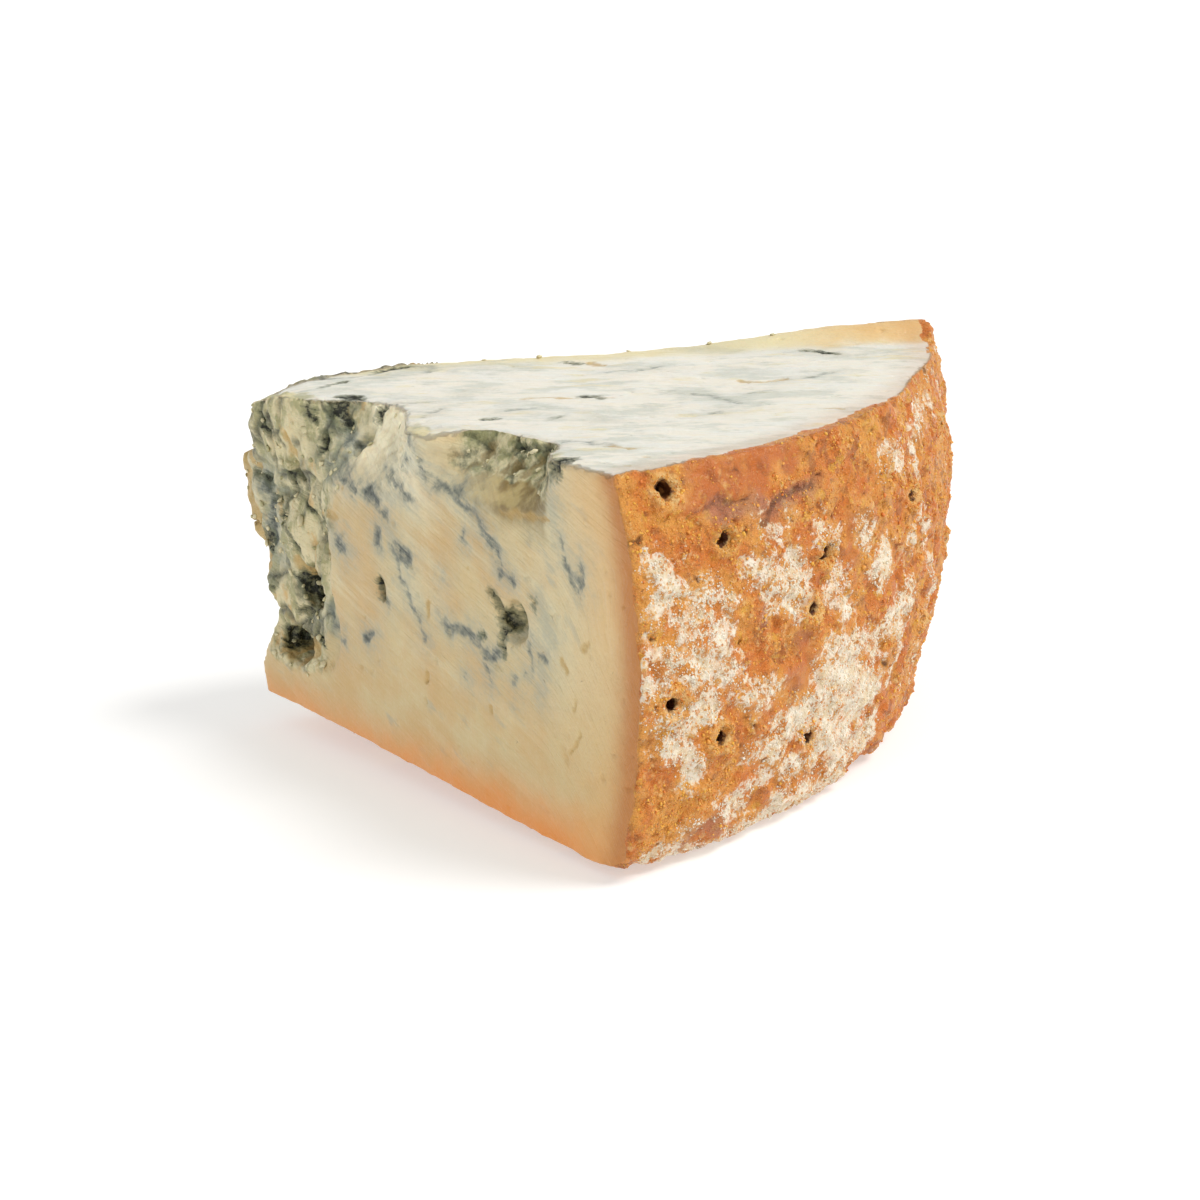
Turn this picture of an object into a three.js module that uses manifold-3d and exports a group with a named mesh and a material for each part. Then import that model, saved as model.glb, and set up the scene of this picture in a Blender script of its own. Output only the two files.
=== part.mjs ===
// A wedge of blue cheese, cut from half the height of a drum with a natural rind.
//
// Millimetres, +Z up. While the wedge is built the drum's axis is the Z axis, the front cut lies along +X and
// faces -Y, and the rear cut lies WEDGE_ANGLE further round. The curved rind joins the two cuts, and the thin
// point of the wedge has broken off. At the end the wedge moves so that its origin is the middle of its base.

import * as THREE from "three";
import { mergeVertices } from "three/addons/utils/BufferGeometryUtils.js";
import { ImprovedNoise } from "three/addons/math/ImprovedNoise.js";
import Module from "manifold-3d";

const { degToRad, lerp, smoothstep } = THREE.MathUtils;

// The drum and the cuts
const HEIGHT = 46;
const RIM_RADIUS = 100.2; // at the level cut that makes the top
const WEDGE_ANGLE = degToRad(58.9);

// Rind: it swells like a barrel, less so towards the rear cut, and turns in to a rounded foot
const BELLY_RADIUS = [102.6, 101.3]; // at the front cut, at the rear cut
const BELLY_HEIGHT = [29, 35];
const BELLY_TAPER = [5.6, 7.4]; // how far the rind leans in from the belly to the base
const FOOT_ROUNDING = [6, 3]; // at the front cut, and from FOOT_ROUNDING_TURN round to the rear cut
const FOOT_ROUNDING_TURN = degToRad(6);
const RIM_WAVE = 1.3; // the rim wanders in and out of a true circle
const RIM_WAVE_LENGTH = degToRad(46);
const RIM_WAVE_START = degToRad(6);
const RIM_WAVE_DEPTH = 16; // how far below the rim the wave has died out
const RIND_LUMP = 0.5;
const RIND_LUMP_SIZE = 7;

// Broken point
const BREAK_X = 15.4; // the break runs square across the wedge here
const BREAK_LUMP = 1.3;
const BREAK_LUMP_SIZE = 6;
const BREAK_CORNER = 0.25; // the rear corner eases into the break over this share of its length
const TOP_CHIP = 2; // the front corner of the point is chipped back at the top
const TOP_CHIP_HEIGHT = 1.8;
const CORNER_DROP = 2.2; // and its top face slopes down to it
const CORNER_DROP_WIDTH = 8;
const POINT_FOOT = 2.4; // the sound band at the foot reaches further out than the break above it
const POINT_FOOT_TOP = [4.5, 9];
const FLAKE_LENGTH = 6; // a thin flake of curd still stands out at the front corner
const FLAKE_WIDTH = 4;
const FLAKE_FOOT = [22, 26];
const FLAKE_TOP = [35.4, 37];

// Front cut: flat as the knife left it, but for a crumbled point, a torn slope and a notch in the top edge
const CRUMBLE_END = [33, 35];
const CRUMBLE_DEPTH = 1.7;
const CRUMBLE_LUMP = 1.3;
const CRUMBLE_LUMP_SIZE = 5;
const CRUMBLE_FOOT = [8, 11]; // the lowest band of the point is sound
const CRUMBLE_TOP = [34, 44]; // where the torn slope takes over
const TORN_DEPTH = 7;
const TORN_START = [25, 38]; // over these two distances from the axis the tear deepens
const TORN_END = [43, 58];
const TORN_FOOT = 34;
const NOTCH_DEPTH = 6.6;
const NOTCH_START = [60, 66];
const NOTCH_END = [79, 87.5];
const NOTCH_FOOT = 39;
const NOTCH_BACK = 44.5; // above this height the notch has its full depth
const TONGUE_SAG = 0.7; // the tongue between tear and notch has sagged

// Rear cut and top
const REAR_BULGE = 1;
const REAR_LIP = 2.5; // the level cut rode up over the rear edge near the rind
const REAR_LIP_WIDTH = 5.5;
const REAR_LIP_START = 57;
const TOP_LUMP = 0.25;
const TOP_LUMP_SIZE = 16;

// Base: flat, but the front edge and the point curl up a little
const FRONT_CURL = [0.8, 3.8]; // at the rind, at the broken point
const FRONT_CURL_WIDTH = 11;
const FRONT_CURL_FADE = [4, 12]; // it dies out over these distances from the rind
const POINT_CURL = 3.2;
const POINT_CURL_END = 30;

// Holes left by the piercing needles: degrees round from the front cut, height, diameter
const PIERCINGS = [
  [3.3, 43.6, 2.1],
  [7.1, 37.4, 1.8],
  [16.4, 32.5, 2.1],
  [15.0, 26.8, 2.0],
  [2.4, 20.9, 2.0],
  [6.7, 15.1, 2.0],
  [16.2, 10.4, 2.2],
  [25.2, 39.0, 1.7],
  [30.0, 34.0, 1.9],
  [35.5, 16.5, 1.8],
  [43.0, 38.2, 1.9],
  [46.5, 21.0, 2.0],
  [53.5, 30.5, 1.8],
];
const PIERCING_DEPTH = 7;
const PIERCING_OVERSHOOT = 3;
const PIERCING_SIDES = 9;
const PIERCING_TAPER = 0.7; // width at the blind end as a share of the width at the rind

// Cavities in the front cut where mould grew: distance from the axis, height, width, tall, depth
const CAVITIES = [
  [26.4, 20.6, 6.2, 7.6, 9],
  [22.4, 12.0, 8.4, 4.6, 8],
  [78.2, 26.2, 5.2, 5.4, 5],
  [47.6, 24.6, 1.6, 2.8, 4],
  [24.5, 36.0, 3.4, 4.4, 5],
  [38.0, 41.0, 3.0, 4.0, 5],
];
const CAVITY_TILT = 0.3;

// Fineness of the surface
const FRONT_STEPS = 34;
const RIND_STEPS = 36;
const REAR_STEPS = 18;
const BREAK_STEPS = 9;
const SIDE_LEVELS = 17;
const LEVEL_CROWDING = 1.3; // above 1 the levels crowd towards the rounded foot
const CAP_RINGS = 7;
const CAP_CROWDING = 1.5; // above 1 the rings crowd towards the edge of the top and base
const CAP_CENTRE = new THREE.Vector2(60, 32);

const PASTE_COLOUR = 0xe6d9bd;

const NOISE_GAIN = 1.6; // stretches the noise to about -1 to 1

const noise = new ImprovedNoise();

// Smooth lumps from -1 to 1, about `size` across.
function lump(x, y, z, size) {
  return noise.noise(x / size, y / size, z / size) * NOISE_GAIN;
}

// 1 between the two ramps, 0 outside them; each ramp is a pair of distances.
function plateau(value, rise, fall) {
  return smoothstep(value, rise[0], rise[1]) * (1 - smoothstep(value, fall[0], fall[1]));
}

function rindRadius(angle, z) {
  const round = angle / WEDGE_ANGLE;
  const belly = lerp(...BELLY_RADIUS, round);
  const bellyHeight = lerp(...BELLY_HEIGHT, round);
  const wave = RIM_WAVE * Math.sin((2 * Math.PI * (angle - RIM_WAVE_START)) / RIM_WAVE_LENGTH);
  const waving = wave * smoothstep(z, HEIGHT - RIM_WAVE_DEPTH, HEIGHT);
  const bumps = RIND_LUMP * lump(RIM_RADIUS * angle, 0, z, RIND_LUMP_SIZE);
  if (z > bellyHeight) {
    const up = (z - bellyHeight) / (HEIGHT - bellyHeight);
    return belly - (belly - RIM_RADIUS) * up ** 2 + waving + bumps;
  }
  const down = (bellyHeight - z) / bellyHeight;
  const rounding = lerp(...FOOT_ROUNDING, smoothstep(angle, 0, FOOT_ROUNDING_TURN));
  const turn = Math.max(0, rounding - z);
  const foot = rounding - Math.sqrt(rounding ** 2 - turn ** 2);
  return belly - lerp(...BELLY_TAPER, round) * down ** 2 - foot + bumps;
}

// How far the front cut's surface lies behind the flat of the knife cut.
function frontRecess(x, z) {
  const crumbled = (1 - smoothstep(x, ...CRUMBLE_END)) * plateau(z, CRUMBLE_FOOT, CRUMBLE_TOP);
  const crumbs = CRUMBLE_DEPTH + CRUMBLE_LUMP * lump(x, 0, z, CRUMBLE_LUMP_SIZE);
  const torn = TORN_DEPTH * plateau(x, TORN_START, TORN_END) * smoothstep(z, TORN_FOOT, HEIGHT);
  const notch = NOTCH_DEPTH * plateau(x, NOTCH_START, NOTCH_END) * smoothstep(z, NOTCH_FOOT, NOTCH_BACK);
  return crumbled * crumbs + torn + notch;
}

// Where the break crosses a given distance behind the front cut.
function breakX(y, z) {
  const front = 1 - smoothstep(y, 0, FLAKE_WIDTH);
  const flake = plateau(z, FLAKE_FOOT, FLAKE_TOP);
  const chip = smoothstep(z, HEIGHT - TOP_CHIP_HEIGHT, HEIGHT);
  const foot = 1 - smoothstep(z, ...POINT_FOOT_TOP);
  const corner = TOP_CHIP * chip - FLAKE_LENGTH * flake - POINT_FOOT * foot;
  return BREAK_X + BREAK_LUMP * lump(BREAK_X, y, z, BREAK_LUMP_SIZE) + front * corner;
}

function topHeight(x, y) {
  const fromRear = x * Math.sin(WEDGE_ANGLE) - y * Math.cos(WEDGE_ANGLE);
  const alongRear = Math.hypot(x, y);
  const nearRind = smoothstep(alongRear, REAR_LIP_START, RIM_RADIUS);
  const lip = REAR_LIP * nearRind * (1 - smoothstep(fromRear, 0, REAR_LIP_WIDTH));
  const sag = TONGUE_SAG * plateau(x, TORN_END, NOTCH_START) * (1 - smoothstep(y, 0, TORN_DEPTH));
  const drop = CORNER_DROP * (1 - smoothstep(Math.hypot(x - BREAK_X, y), 0, CORNER_DROP_WIDTH));
  return HEIGHT + lip - sag - drop + TOP_LUMP * lump(x, y, 0, TOP_LUMP_SIZE);
}

function baseHeight(x, y) {
  const inward = 1 - smoothstep(x, BREAK_X, RIM_RADIUS);
  const offRind = smoothstep(RIM_RADIUS - x, ...FRONT_CURL_FADE);
  const front = lerp(...FRONT_CURL, inward) * offRind * (1 - smoothstep(y, 0, FRONT_CURL_WIDTH));
  const point = POINT_CURL * (1 - smoothstep(Math.hypot(x, y), BREAK_X, POINT_CURL_END));
  return Math.max(front, point);
}

// The four sides at height z, each from one corner to the next at share 0 to 1.
function frontSide(share, z) {
  const x = lerp(breakX(0, z), rindRadius(0, z), share);
  return new THREE.Vector2(x, frontRecess(x, z));
}

function rindSide(share, z) {
  const angle = WEDGE_ANGLE * share;
  const radius = rindRadius(angle, z);
  return new THREE.Vector2(radius * Math.cos(angle), radius * Math.sin(angle));
}

function rearSide(share, z) {
  const atBreak = BREAK_X / Math.cos(WEDGE_ANGLE);
  const along = lerp(rindRadius(WEDGE_ANGLE, z), atBreak, share);
  const bulge = REAR_BULGE * Math.sin(Math.PI * share);
  return new THREE.Vector2(
    along * Math.cos(WEDGE_ANGLE) - bulge * Math.sin(WEDGE_ANGLE),
    along * Math.sin(WEDGE_ANGLE) + bulge * Math.cos(WEDGE_ANGLE),
  );
}

function brokenSide(share, z) {
  const rear = rearSide(1, z);
  const front = frontSide(0, z);
  const y = lerp(rear.y, front.y, share);
  const ease = Math.min(1, share / BREAK_CORNER);
  return new THREE.Vector2(lerp(rear.x, breakX(y, z), ease), y);
}

const SIDES = [
  [frontSide, FRONT_STEPS],
  [rindSide, RIND_STEPS],
  [rearSide, REAR_STEPS],
  [brokenSide, BREAK_STEPS],
];

// One closed outline of the wedge at a share of its height; every point has its own base and top height.
function sideRing(share) {
  const ring = [];
  for (const [side, steps] of SIDES) {
    for (let i = 0; i < steps; i++) {
      const flat = side(i / steps, HEIGHT * share);
      const z = lerp(baseHeight(flat.x, flat.y), topHeight(flat.x, flat.y), share);
      ring.push(new THREE.Vector3(flat.x, flat.y, z));
    }
  }
  return ring;
}

// Rings that shrink from an edge ring towards the middle of the top or base.
function capRings(edge, heightAt) {
  const rings = [];
  for (let k = 1; k < CAP_RINGS; k++) {
    const inward = (k / CAP_RINGS) ** CAP_CROWDING;
    rings.push(
      edge.map((p) => {
        const flat = new THREE.Vector2(p.x, p.y).lerp(CAP_CENTRE, inward);
        return new THREE.Vector3(flat.x, flat.y, heightAt(flat.x, flat.y));
      }),
    );
  }
  return rings;
}

function capMiddle(heightAt) {
  return new THREE.Vector3(CAP_CENTRE.x, CAP_CENTRE.y, heightAt(CAP_CENTRE.x, CAP_CENTRE.y));
}

// Closes a stack of equal rings, lowest first, between a bottom point and a top point.
function skin(bottom, rings, top) {
  const around = rings[0].length;
  const points = [bottom, ...rings.flat(), top];
  const last = points.length - 1;
  const faces = [];
  for (let i = 0; i < around; i++) {
    const next = (i + 1) % around;
    faces.push(0, 1 + next, 1 + i);
    for (let ring = 0; ring < rings.length - 1; ring++) {
      const low = 1 + ring * around;
      const high = low + around;
      faces.push(low + i, low + next, high + next, low + i, high + next, high + i);
    }
    const rim = last - around;
    faces.push(rim + i, rim + next, last);
  }
  const geometry = new THREE.BufferGeometry().setFromPoints(points);
  geometry.setIndex(faces);
  return geometry;
}

function wedgeGeometry() {
  const sides = [];
  for (let level = 0; level <= SIDE_LEVELS; level++) {
    sides.push(sideRing((level / SIDE_LEVELS) ** LEVEL_CROWDING));
  }
  const base = capRings(sides[0], baseHeight).reverse();
  const top = capRings(sides[SIDE_LEVELS], topHeight);
  return skin(capMiddle(baseHeight), [...base, ...sides, ...top], capMiddle(topHeight));
}

// A needle's path: it points at the drum's axis and stops PIERCING_DEPTH inside the rind.
function piercingGeometry([degrees, height, diameter]) {
  const angle = degToRad(degrees);
  const length = PIERCING_DEPTH + PIERCING_OVERSHOOT;
  const middle = rindRadius(angle, height) - PIERCING_DEPTH + length / 2;
  return new THREE.CylinderGeometry(diameter / 2, (diameter / 2) * PIERCING_TAPER, length, PIERCING_SIDES)
    .rotateZ(-Math.PI / 2)
    .translate(middle, 0, height)
    .rotateZ(angle);
}

function cavityGeometry([x, height, width, tall, depth]) {
  return new THREE.IcosahedronGeometry(1, 1)
    .scale(width / 2, depth / 2, tall / 2)
    .rotateY(CAVITY_TILT)
    .translate(x, frontRecess(x, height), height);
}

const wasm = await Module();
wasm.setup();

function solidOf(geometry) {
  geometry.deleteAttribute("normal");
  geometry.deleteAttribute("uv");
  const merged = mergeVertices(geometry);
  return new wasm.Manifold(
    new wasm.Mesh({
      numProp: 3,
      vertProperties: merged.attributes.position.array,
      triVerts: new Uint32Array(merged.index.array),
    }),
  );
}

function geometryOf(solid) {
  const mesh = solid.getMesh();
  const geometry = new THREE.BufferGeometry();
  geometry.setAttribute("position", new THREE.BufferAttribute(mesh.vertProperties, 3));
  geometry.setIndex(new THREE.BufferAttribute(mesh.triVerts, 1));
  geometry.computeVertexNormals();
  return geometry;
}

function cheeseWedge() {
  let solid = solidOf(wedgeGeometry());
  for (const piercing of PIERCINGS) {
    solid = solid.subtract(solidOf(piercingGeometry(piercing)));
  }
  for (const cavity of CAVITIES) {
    solid = solid.subtract(solidOf(cavityGeometry(cavity)));
  }
  const material = new THREE.MeshStandardMaterial({ color: PASTE_COLOUR, roughness: 0.5, metalness: 0 });
  const wedge = new THREE.Mesh(geometryOf(solid), material);
  wedge.name = "cheese_wedge";
  return wedge;
}

const group = new THREE.Group();
const wedge = cheeseWedge();
const box = new THREE.Box3().setFromObject(wedge);
const middle = box.getCenter(new THREE.Vector3());
wedge.position.set(-middle.x, -middle.y, -box.min.z);
group.add(wedge);

export default group;
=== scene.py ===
"""A wedge of blue cheese: veined paste with a crumbled point, and a crusty rind dusted with white mould.

Lengths are millimetres and angles degrees in the frame of the drum that the wedge was cut from: the drum's
axis is Z, the front cut lies along +X and faces -Y. Meshes are written in metres in the row's frame.
"""

import math

import bmesh
import bpy
import numpy as np
from mathutils import Matrix, Vector

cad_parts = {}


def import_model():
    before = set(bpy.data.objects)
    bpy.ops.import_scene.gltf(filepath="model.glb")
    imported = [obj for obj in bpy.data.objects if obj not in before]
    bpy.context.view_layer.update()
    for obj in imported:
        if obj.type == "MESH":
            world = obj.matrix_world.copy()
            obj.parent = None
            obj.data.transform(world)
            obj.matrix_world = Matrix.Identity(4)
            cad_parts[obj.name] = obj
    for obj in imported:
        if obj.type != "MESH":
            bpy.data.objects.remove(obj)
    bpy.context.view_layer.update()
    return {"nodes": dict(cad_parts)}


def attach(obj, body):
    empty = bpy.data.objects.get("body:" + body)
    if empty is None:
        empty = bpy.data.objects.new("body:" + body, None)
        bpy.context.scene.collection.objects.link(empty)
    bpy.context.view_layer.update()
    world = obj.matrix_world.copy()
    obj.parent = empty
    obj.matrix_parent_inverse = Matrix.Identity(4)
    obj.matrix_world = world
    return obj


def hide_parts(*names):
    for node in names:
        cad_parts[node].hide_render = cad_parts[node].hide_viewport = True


MM = 0.001
NODE = "cheese_wedge"
BODY = "root"
FAR = 1000.0

# ------------ the drum and the cuts
DRUM_AXIS = np.array([-56.2875, -43.6141, 0.0])  # where the drum's axis stands in the row's frame
HEIGHT = 46.0
RIM_RADIUS = 100.2
WEDGE_ANGLE = math.radians(58.9)
BELLY_RADIUS = (102.6, 101.3)  # at the front cut, at the rear cut
BELLY_HEIGHT = (29.0, 35.0)
BELLY_TAPER = (5.6, 7.4)
REAR_FACING = np.array([-math.sin(WEDGE_ANGLE), math.cos(WEDGE_ANGLE), 0.0])

# ------------ fineness of the skin
VOXEL = 0.3
RELAX_STEPS = 12
RELAX_SHARE = 0.6
RELAX_SHARE_AT_HOLES = 0.1
HOLE_RIM = 1.0  # the skin stays crisp this near to a needle hole
HOLES_BEYOND = 80.0  # and this far from the drum's axis
BODY_FACES = 194000
EASE_SHOWN = 0.4  # how readily faces are given up, from 0 to 1
EASE_REAR = 0.75
EASE_BASE = 0.9
EVENNESS = 0.3  # how much even edges count against a close fit

# ------------ holes left by the piercing needles
# degrees round from the front cut, height, diameter
PIERCINGS = (
    (3.3, 43.6, 2.1),
    (7.1, 37.4, 1.8),
    (16.4, 32.5, 2.1),
    (15.0, 26.8, 2.0),
    (2.4, 20.9, 2.0),
    (6.7, 15.1, 2.0),
    (16.2, 10.4, 2.2),
    (25.2, 39.0, 1.7),
    (30.0, 34.0, 1.9),
    (35.5, 16.5, 1.8),
    (43.0, 38.2, 1.9),
    (46.5, 21.0, 2.0),
    (53.5, 30.5, 1.8),
)
PIERCING_DEPTH = 6.0

# ------------ marks on the front cut
# half width, then points as (distance from the axis, height)
BLUE_VEINS = (
    (0.30, ((62.6, 39.6), (66.1, 39.7), (70.9, 37.6), (74.3, 34.7), (77.2, 31.4))),
    (0.60, ((76.2, 31.4), (78.0, 30.8))),
    (0.35, ((62.0, 23.4), (66.3, 22.6), (69.2, 22.7))),
    (0.28, ((70.2, 23.1), (70.4, 22.0), (72.0, 21.2))),
    (0.75, ((72.4, 21.0), (73.2, 21.1))),
    (0.25, ((73.2, 21.4), (74.8, 22.4))),
    (0.28, ((71.6, 19.7), (72.0, 17.9))),
    (0.16, ((51.4, 31.0), (52.9, 26.9), (56.6, 22.8), (57.9, 20.2))),
    (0.80, ((53.2, 30.4), (55.0, 29.7))),
    (0.55, ((47.7, 32.2), (47.8, 30.4))),
    (0.20, ((89.3, 35.2), (90.3, 33.7), (91.2, 32.3))),
    (0.25, ((92.1, 35.4), (92.2, 33.8), (91.4, 32.6))),
    (0.14, ((88.1, 37.8), (88.5, 36.6))),
    (0.18, ((81.6, 25.4), (81.3, 20.8))),
    (0.45, ((83.0, 23.0), (84.4, 22.7))),
    (0.60, ((43.2, 17.5), (44.2, 17.8))),
    (0.17, ((48.4, 23.7), (49.0, 22.9))),
    (0.30, ((56.8, 44.0), (58.2, 42.6))),
    (0.35, ((53.8, 41.5), (56.5, 41.7))),
    (0.16, ((59.2, 41.4), (60.7, 40.3))),
    (0.26, ((47.6, 39.7), (53.2, 38.5), (56.4, 36.9))),
    (0.85, ((45.2, 36.3), (47.5, 36.0))),
    (0.45, ((33.2, 37.8), (38.4, 37.3), (42.4, 36.5))),
    (0.40, ((49.4, 34.3), (50.6, 34.4))),
    (0.75, ((37.3, 28.7), (38.9, 28.4))),
    (0.20, ((30.3, 18.7), (31.7, 16.9), (37.2, 16.1))),
    (0.25, ((33.8, 42.3), (35.1, 41.0), (37.2, 39.8))),
    (1.00, ((16.6, 34.6), (17.0, 30.0), (16.6, 26.0))),
    (0.23, ((70.6, 23.2),)),
    (0.25, ((79.6, 20.4),)),
    (0.16, ((77.5, 19.2), (77.5, 18.6))),
    (0.22, ((67.0, 17.7),)),
    (0.16, ((62.5, 28.4),)),
    (0.25, ((68.3, 34.3),)),
)
BLACK_MOULD = (
    (0.45, ((74.6, 27.7), (75.8, 26.7))),
    (0.80, ((75.6, 26.3), (76.8, 25.6))),
    (0.50, ((75.8, 24.6), (75.6, 23.2))),
    (0.32, ((73.2, 28.9), (74.6, 27.9))),
    (0.28, ((77.6, 26.6), (79.0, 27.0))),
    (0.30, ((75.2, 23.2), (75.8, 22.2))),
    (0.20, ((82.5, 29.1),)),
    (0.22, ((70.6, 23.3),)),
    (1.30, ((23.5, 20.7), (24.8, 19.2), (27.5, 21.0))),
    (0.70, ((22.0, 16.7), (25.2, 17.0))),
    (0.80, ((18.5, 12.7), (18.9, 11.8))),
    (0.45, ((27.6, 14.3), (29.9, 14.0))),
    (0.40, ((47.6, 25.4), (47.7, 23.9))),
    (0.32, ((29.4, 45.3), (29.5, 43.2))),
    (1.10, ((32.9, 45.6), (33.0, 44.0), (33.8, 43.1))),
    (0.34, ((39.6, 45.8), (39.3, 44.2))),
    (0.54, ((31.4, 41.2), (31.7, 39.9))),
    (0.54, ((22.8, 35.1), (22.7, 33.9))),
    (0.49, ((24.9, 32.8), (27.8, 31.9))),
    (0.34, ((30.8, 31.1), (33.9, 30.4))),
    (0.30, ((19.8, 30.0), (20.3, 28.6))),
    (0.59, ((15.2, 26.2), (15.5, 24.8))),
    (0.34, ((16.8, 19.4),)),
    (0.34, ((18.7, 43.8), (19.6, 42.0), (20.8, 41.1))),
    (0.30, ((14.0, 35.0), (17.1, 33.9))),
    (0.30, ((22.9, 26.1), (24.2, 25.4))),
    (0.30, ((17.4, 31.8), (19.6, 31.1))),
    (0.40, ((72.4, 44.4), (79.0, 45.2))),
    (0.70, ((87.0, 44.8), (88.6, 45.8))),
)
GREY_SMEARS = (
    (0.9, ((83.3, 29.6), (85.0, 27.0), (85.6, 25.9), (84.6, 22.8), (82.7, 19.2))),
    (0.8, ((78.0, 24.2), (79.4, 25.8))),
    (0.7, ((81.7, 25.4), (82.8, 24.7))),
    (0.9, ((74.5, 32.3), (75.1, 31.1))),
    (0.6, ((90.6, 34.8), (91.2, 33.6))),
    (0.8, ((62.0, 23.4), (69.0, 22.4))),
    (1.0, ((72.0, 19.0), (72.4, 21.5))),
    (0.6, ((44.0, 36.4), (54.0, 37.0))),
    (1.0, ((50.0, 33.0), (55.0, 29.0))),
    (1.2, ((36.0, 29.0), (40.0, 27.6))),
    (0.8, ((86.9, 44.0), (87.6, 38.6))),
    (1.6, ((17.5, 35.0), (18.0, 24.0))),
)
TAN_MARKS = (
    (0.30, ((71.2, 14.9), (71.6, 13.9))),
    (0.40, ((57.3, 15.8), (57.3, 14.6))),
    (0.16, ((91.7, 25.6), (93.1, 26.5))),
    (0.30, ((88.0, 23.5), (88.5, 22.3))),
    (0.16, ((90.2, 19.2), (89.0, 17.6))),
    (0.16, ((90.5, 15.7), (89.4, 14.1), (88.3, 12.8))),
    (0.45, ((58.9, 24.9), (59.2, 23.2))),
    (0.25, ((76.5, 38.7), (81.4, 39.0), (86.3, 39.3))),
    (0.18, ((68.9, 30.6),)),
    (0.90, ((23.0, 23.6), (24.1, 22.6))),
    (1.00, ((19.6, 11.2), (24.0, 11.6), (27.6, 12.5))),
    (0.30, ((38.7, 35.7),)),
    (2.20, ((10.6, 35.8), (11.2, 31.5), (12.2, 27.0), (13.6, 22.0))),
    (0.60, ((15.3, 36.3), (14.0, 37.5))),
    (0.50, ((35.0, 32.6), (37.4, 32.1))),
    (0.60, ((24.6, 41.0), (25.6, 38.6))),
)

# ------------ marks on the top
# half width, then points as (x, y)
TOP_VEINS = (
    (0.25, ((40.9, 6.9), (43.0, 9.6), (44.4, 12.6))),
    (0.35, ((51.8, 5.5), (49.3, 8.9))),
    (0.30, ((41.6, 39.0), (45.2, 41.0), (44.7, 46.4))),
    (0.20, ((67.1, 47.8), (67.8, 52.6), (67.2, 57.3))),
    (0.20, ((65.4, 35.8), (71.2, 36.1), (75.5, 35.1))),
    (0.20, ((71.1, 40.1), (71.9, 43.1))),
    (0.25, ((76.9, 27.9), (77.9, 30.2))),
    (0.35, ((79.5, 6.8), (82.1, 8.6), (86.2, 8.6))),
    (0.30, ((57.5, 13.8), (58.8, 16.8))),
)
TOP_MOULD = (
    (0.55, ((31.2, 40.5), (33.2, 40.6))),
    (0.45, ((56.9, 26.0), (59.5, 26.2))),
    (0.35, ((59.8, 9.0), (60.5, 10.3))),
    (0.50, ((49.3, 66.6), (51.8, 67.2), (54.6, 67.5))),
    (0.25, ((65.9, 15.3),)),
    (0.80, ((31.2, 5.8), (34.0, 6.4))),
    (0.40, ((40.6, 6.6),)),
    (0.60, ((88.4, 0.6), (89.7, 0.9))),
)
TOP_SMEARS = (
    (0.9, ((66.3, 19.2), (72.2, 17.7))),
    (1.0, ((21.8, 16.4), (22.1, 20.3))),
    (1.2, ((19.4, 25.2), (24.9, 30.5), (28.3, 36.0))),
    (1.2, ((36.0, 57.0), (42.0, 60.0))),
    (0.9, ((27.2, 2.5), (26.7, 7.1))),
    (0.8, ((82.0, 8.6), (89.5, 9.6))),
    (0.8, ((57.0, 13.0), (59.0, 17.0))),
    (0.9, ((76.0, 28.0), (78.0, 31.0))),
    (1.0, ((55.0, 52.0), (61.0, 52.0))),
    (1.0, ((40.0, 20.0), (45.0, 15.0))),
    (1.5, ((50.0, 66.0), (56.0, 67.5))),
)
TOP_YELLOW = (
    (0.22, ((51.6, 19.6), (57.9, 25.3))),
    (0.22, ((59.5, 26.4), (60.4, 27.6))),
    (0.80, ((34.0, 42.3), (36.8, 41.6))),
    (0.50, ((62.0, 45.7), (65.7, 46.0), (66.4, 49.5))),
    (0.50, ((86.2, 8.6), (89.5, 9.6))),
    (0.20, ((86.2, 38.4), (88.8, 40.1))),
    (0.35, ((94.6, 7.6),)),
    (0.30, ((96.7, 3.7),)),
)

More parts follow.
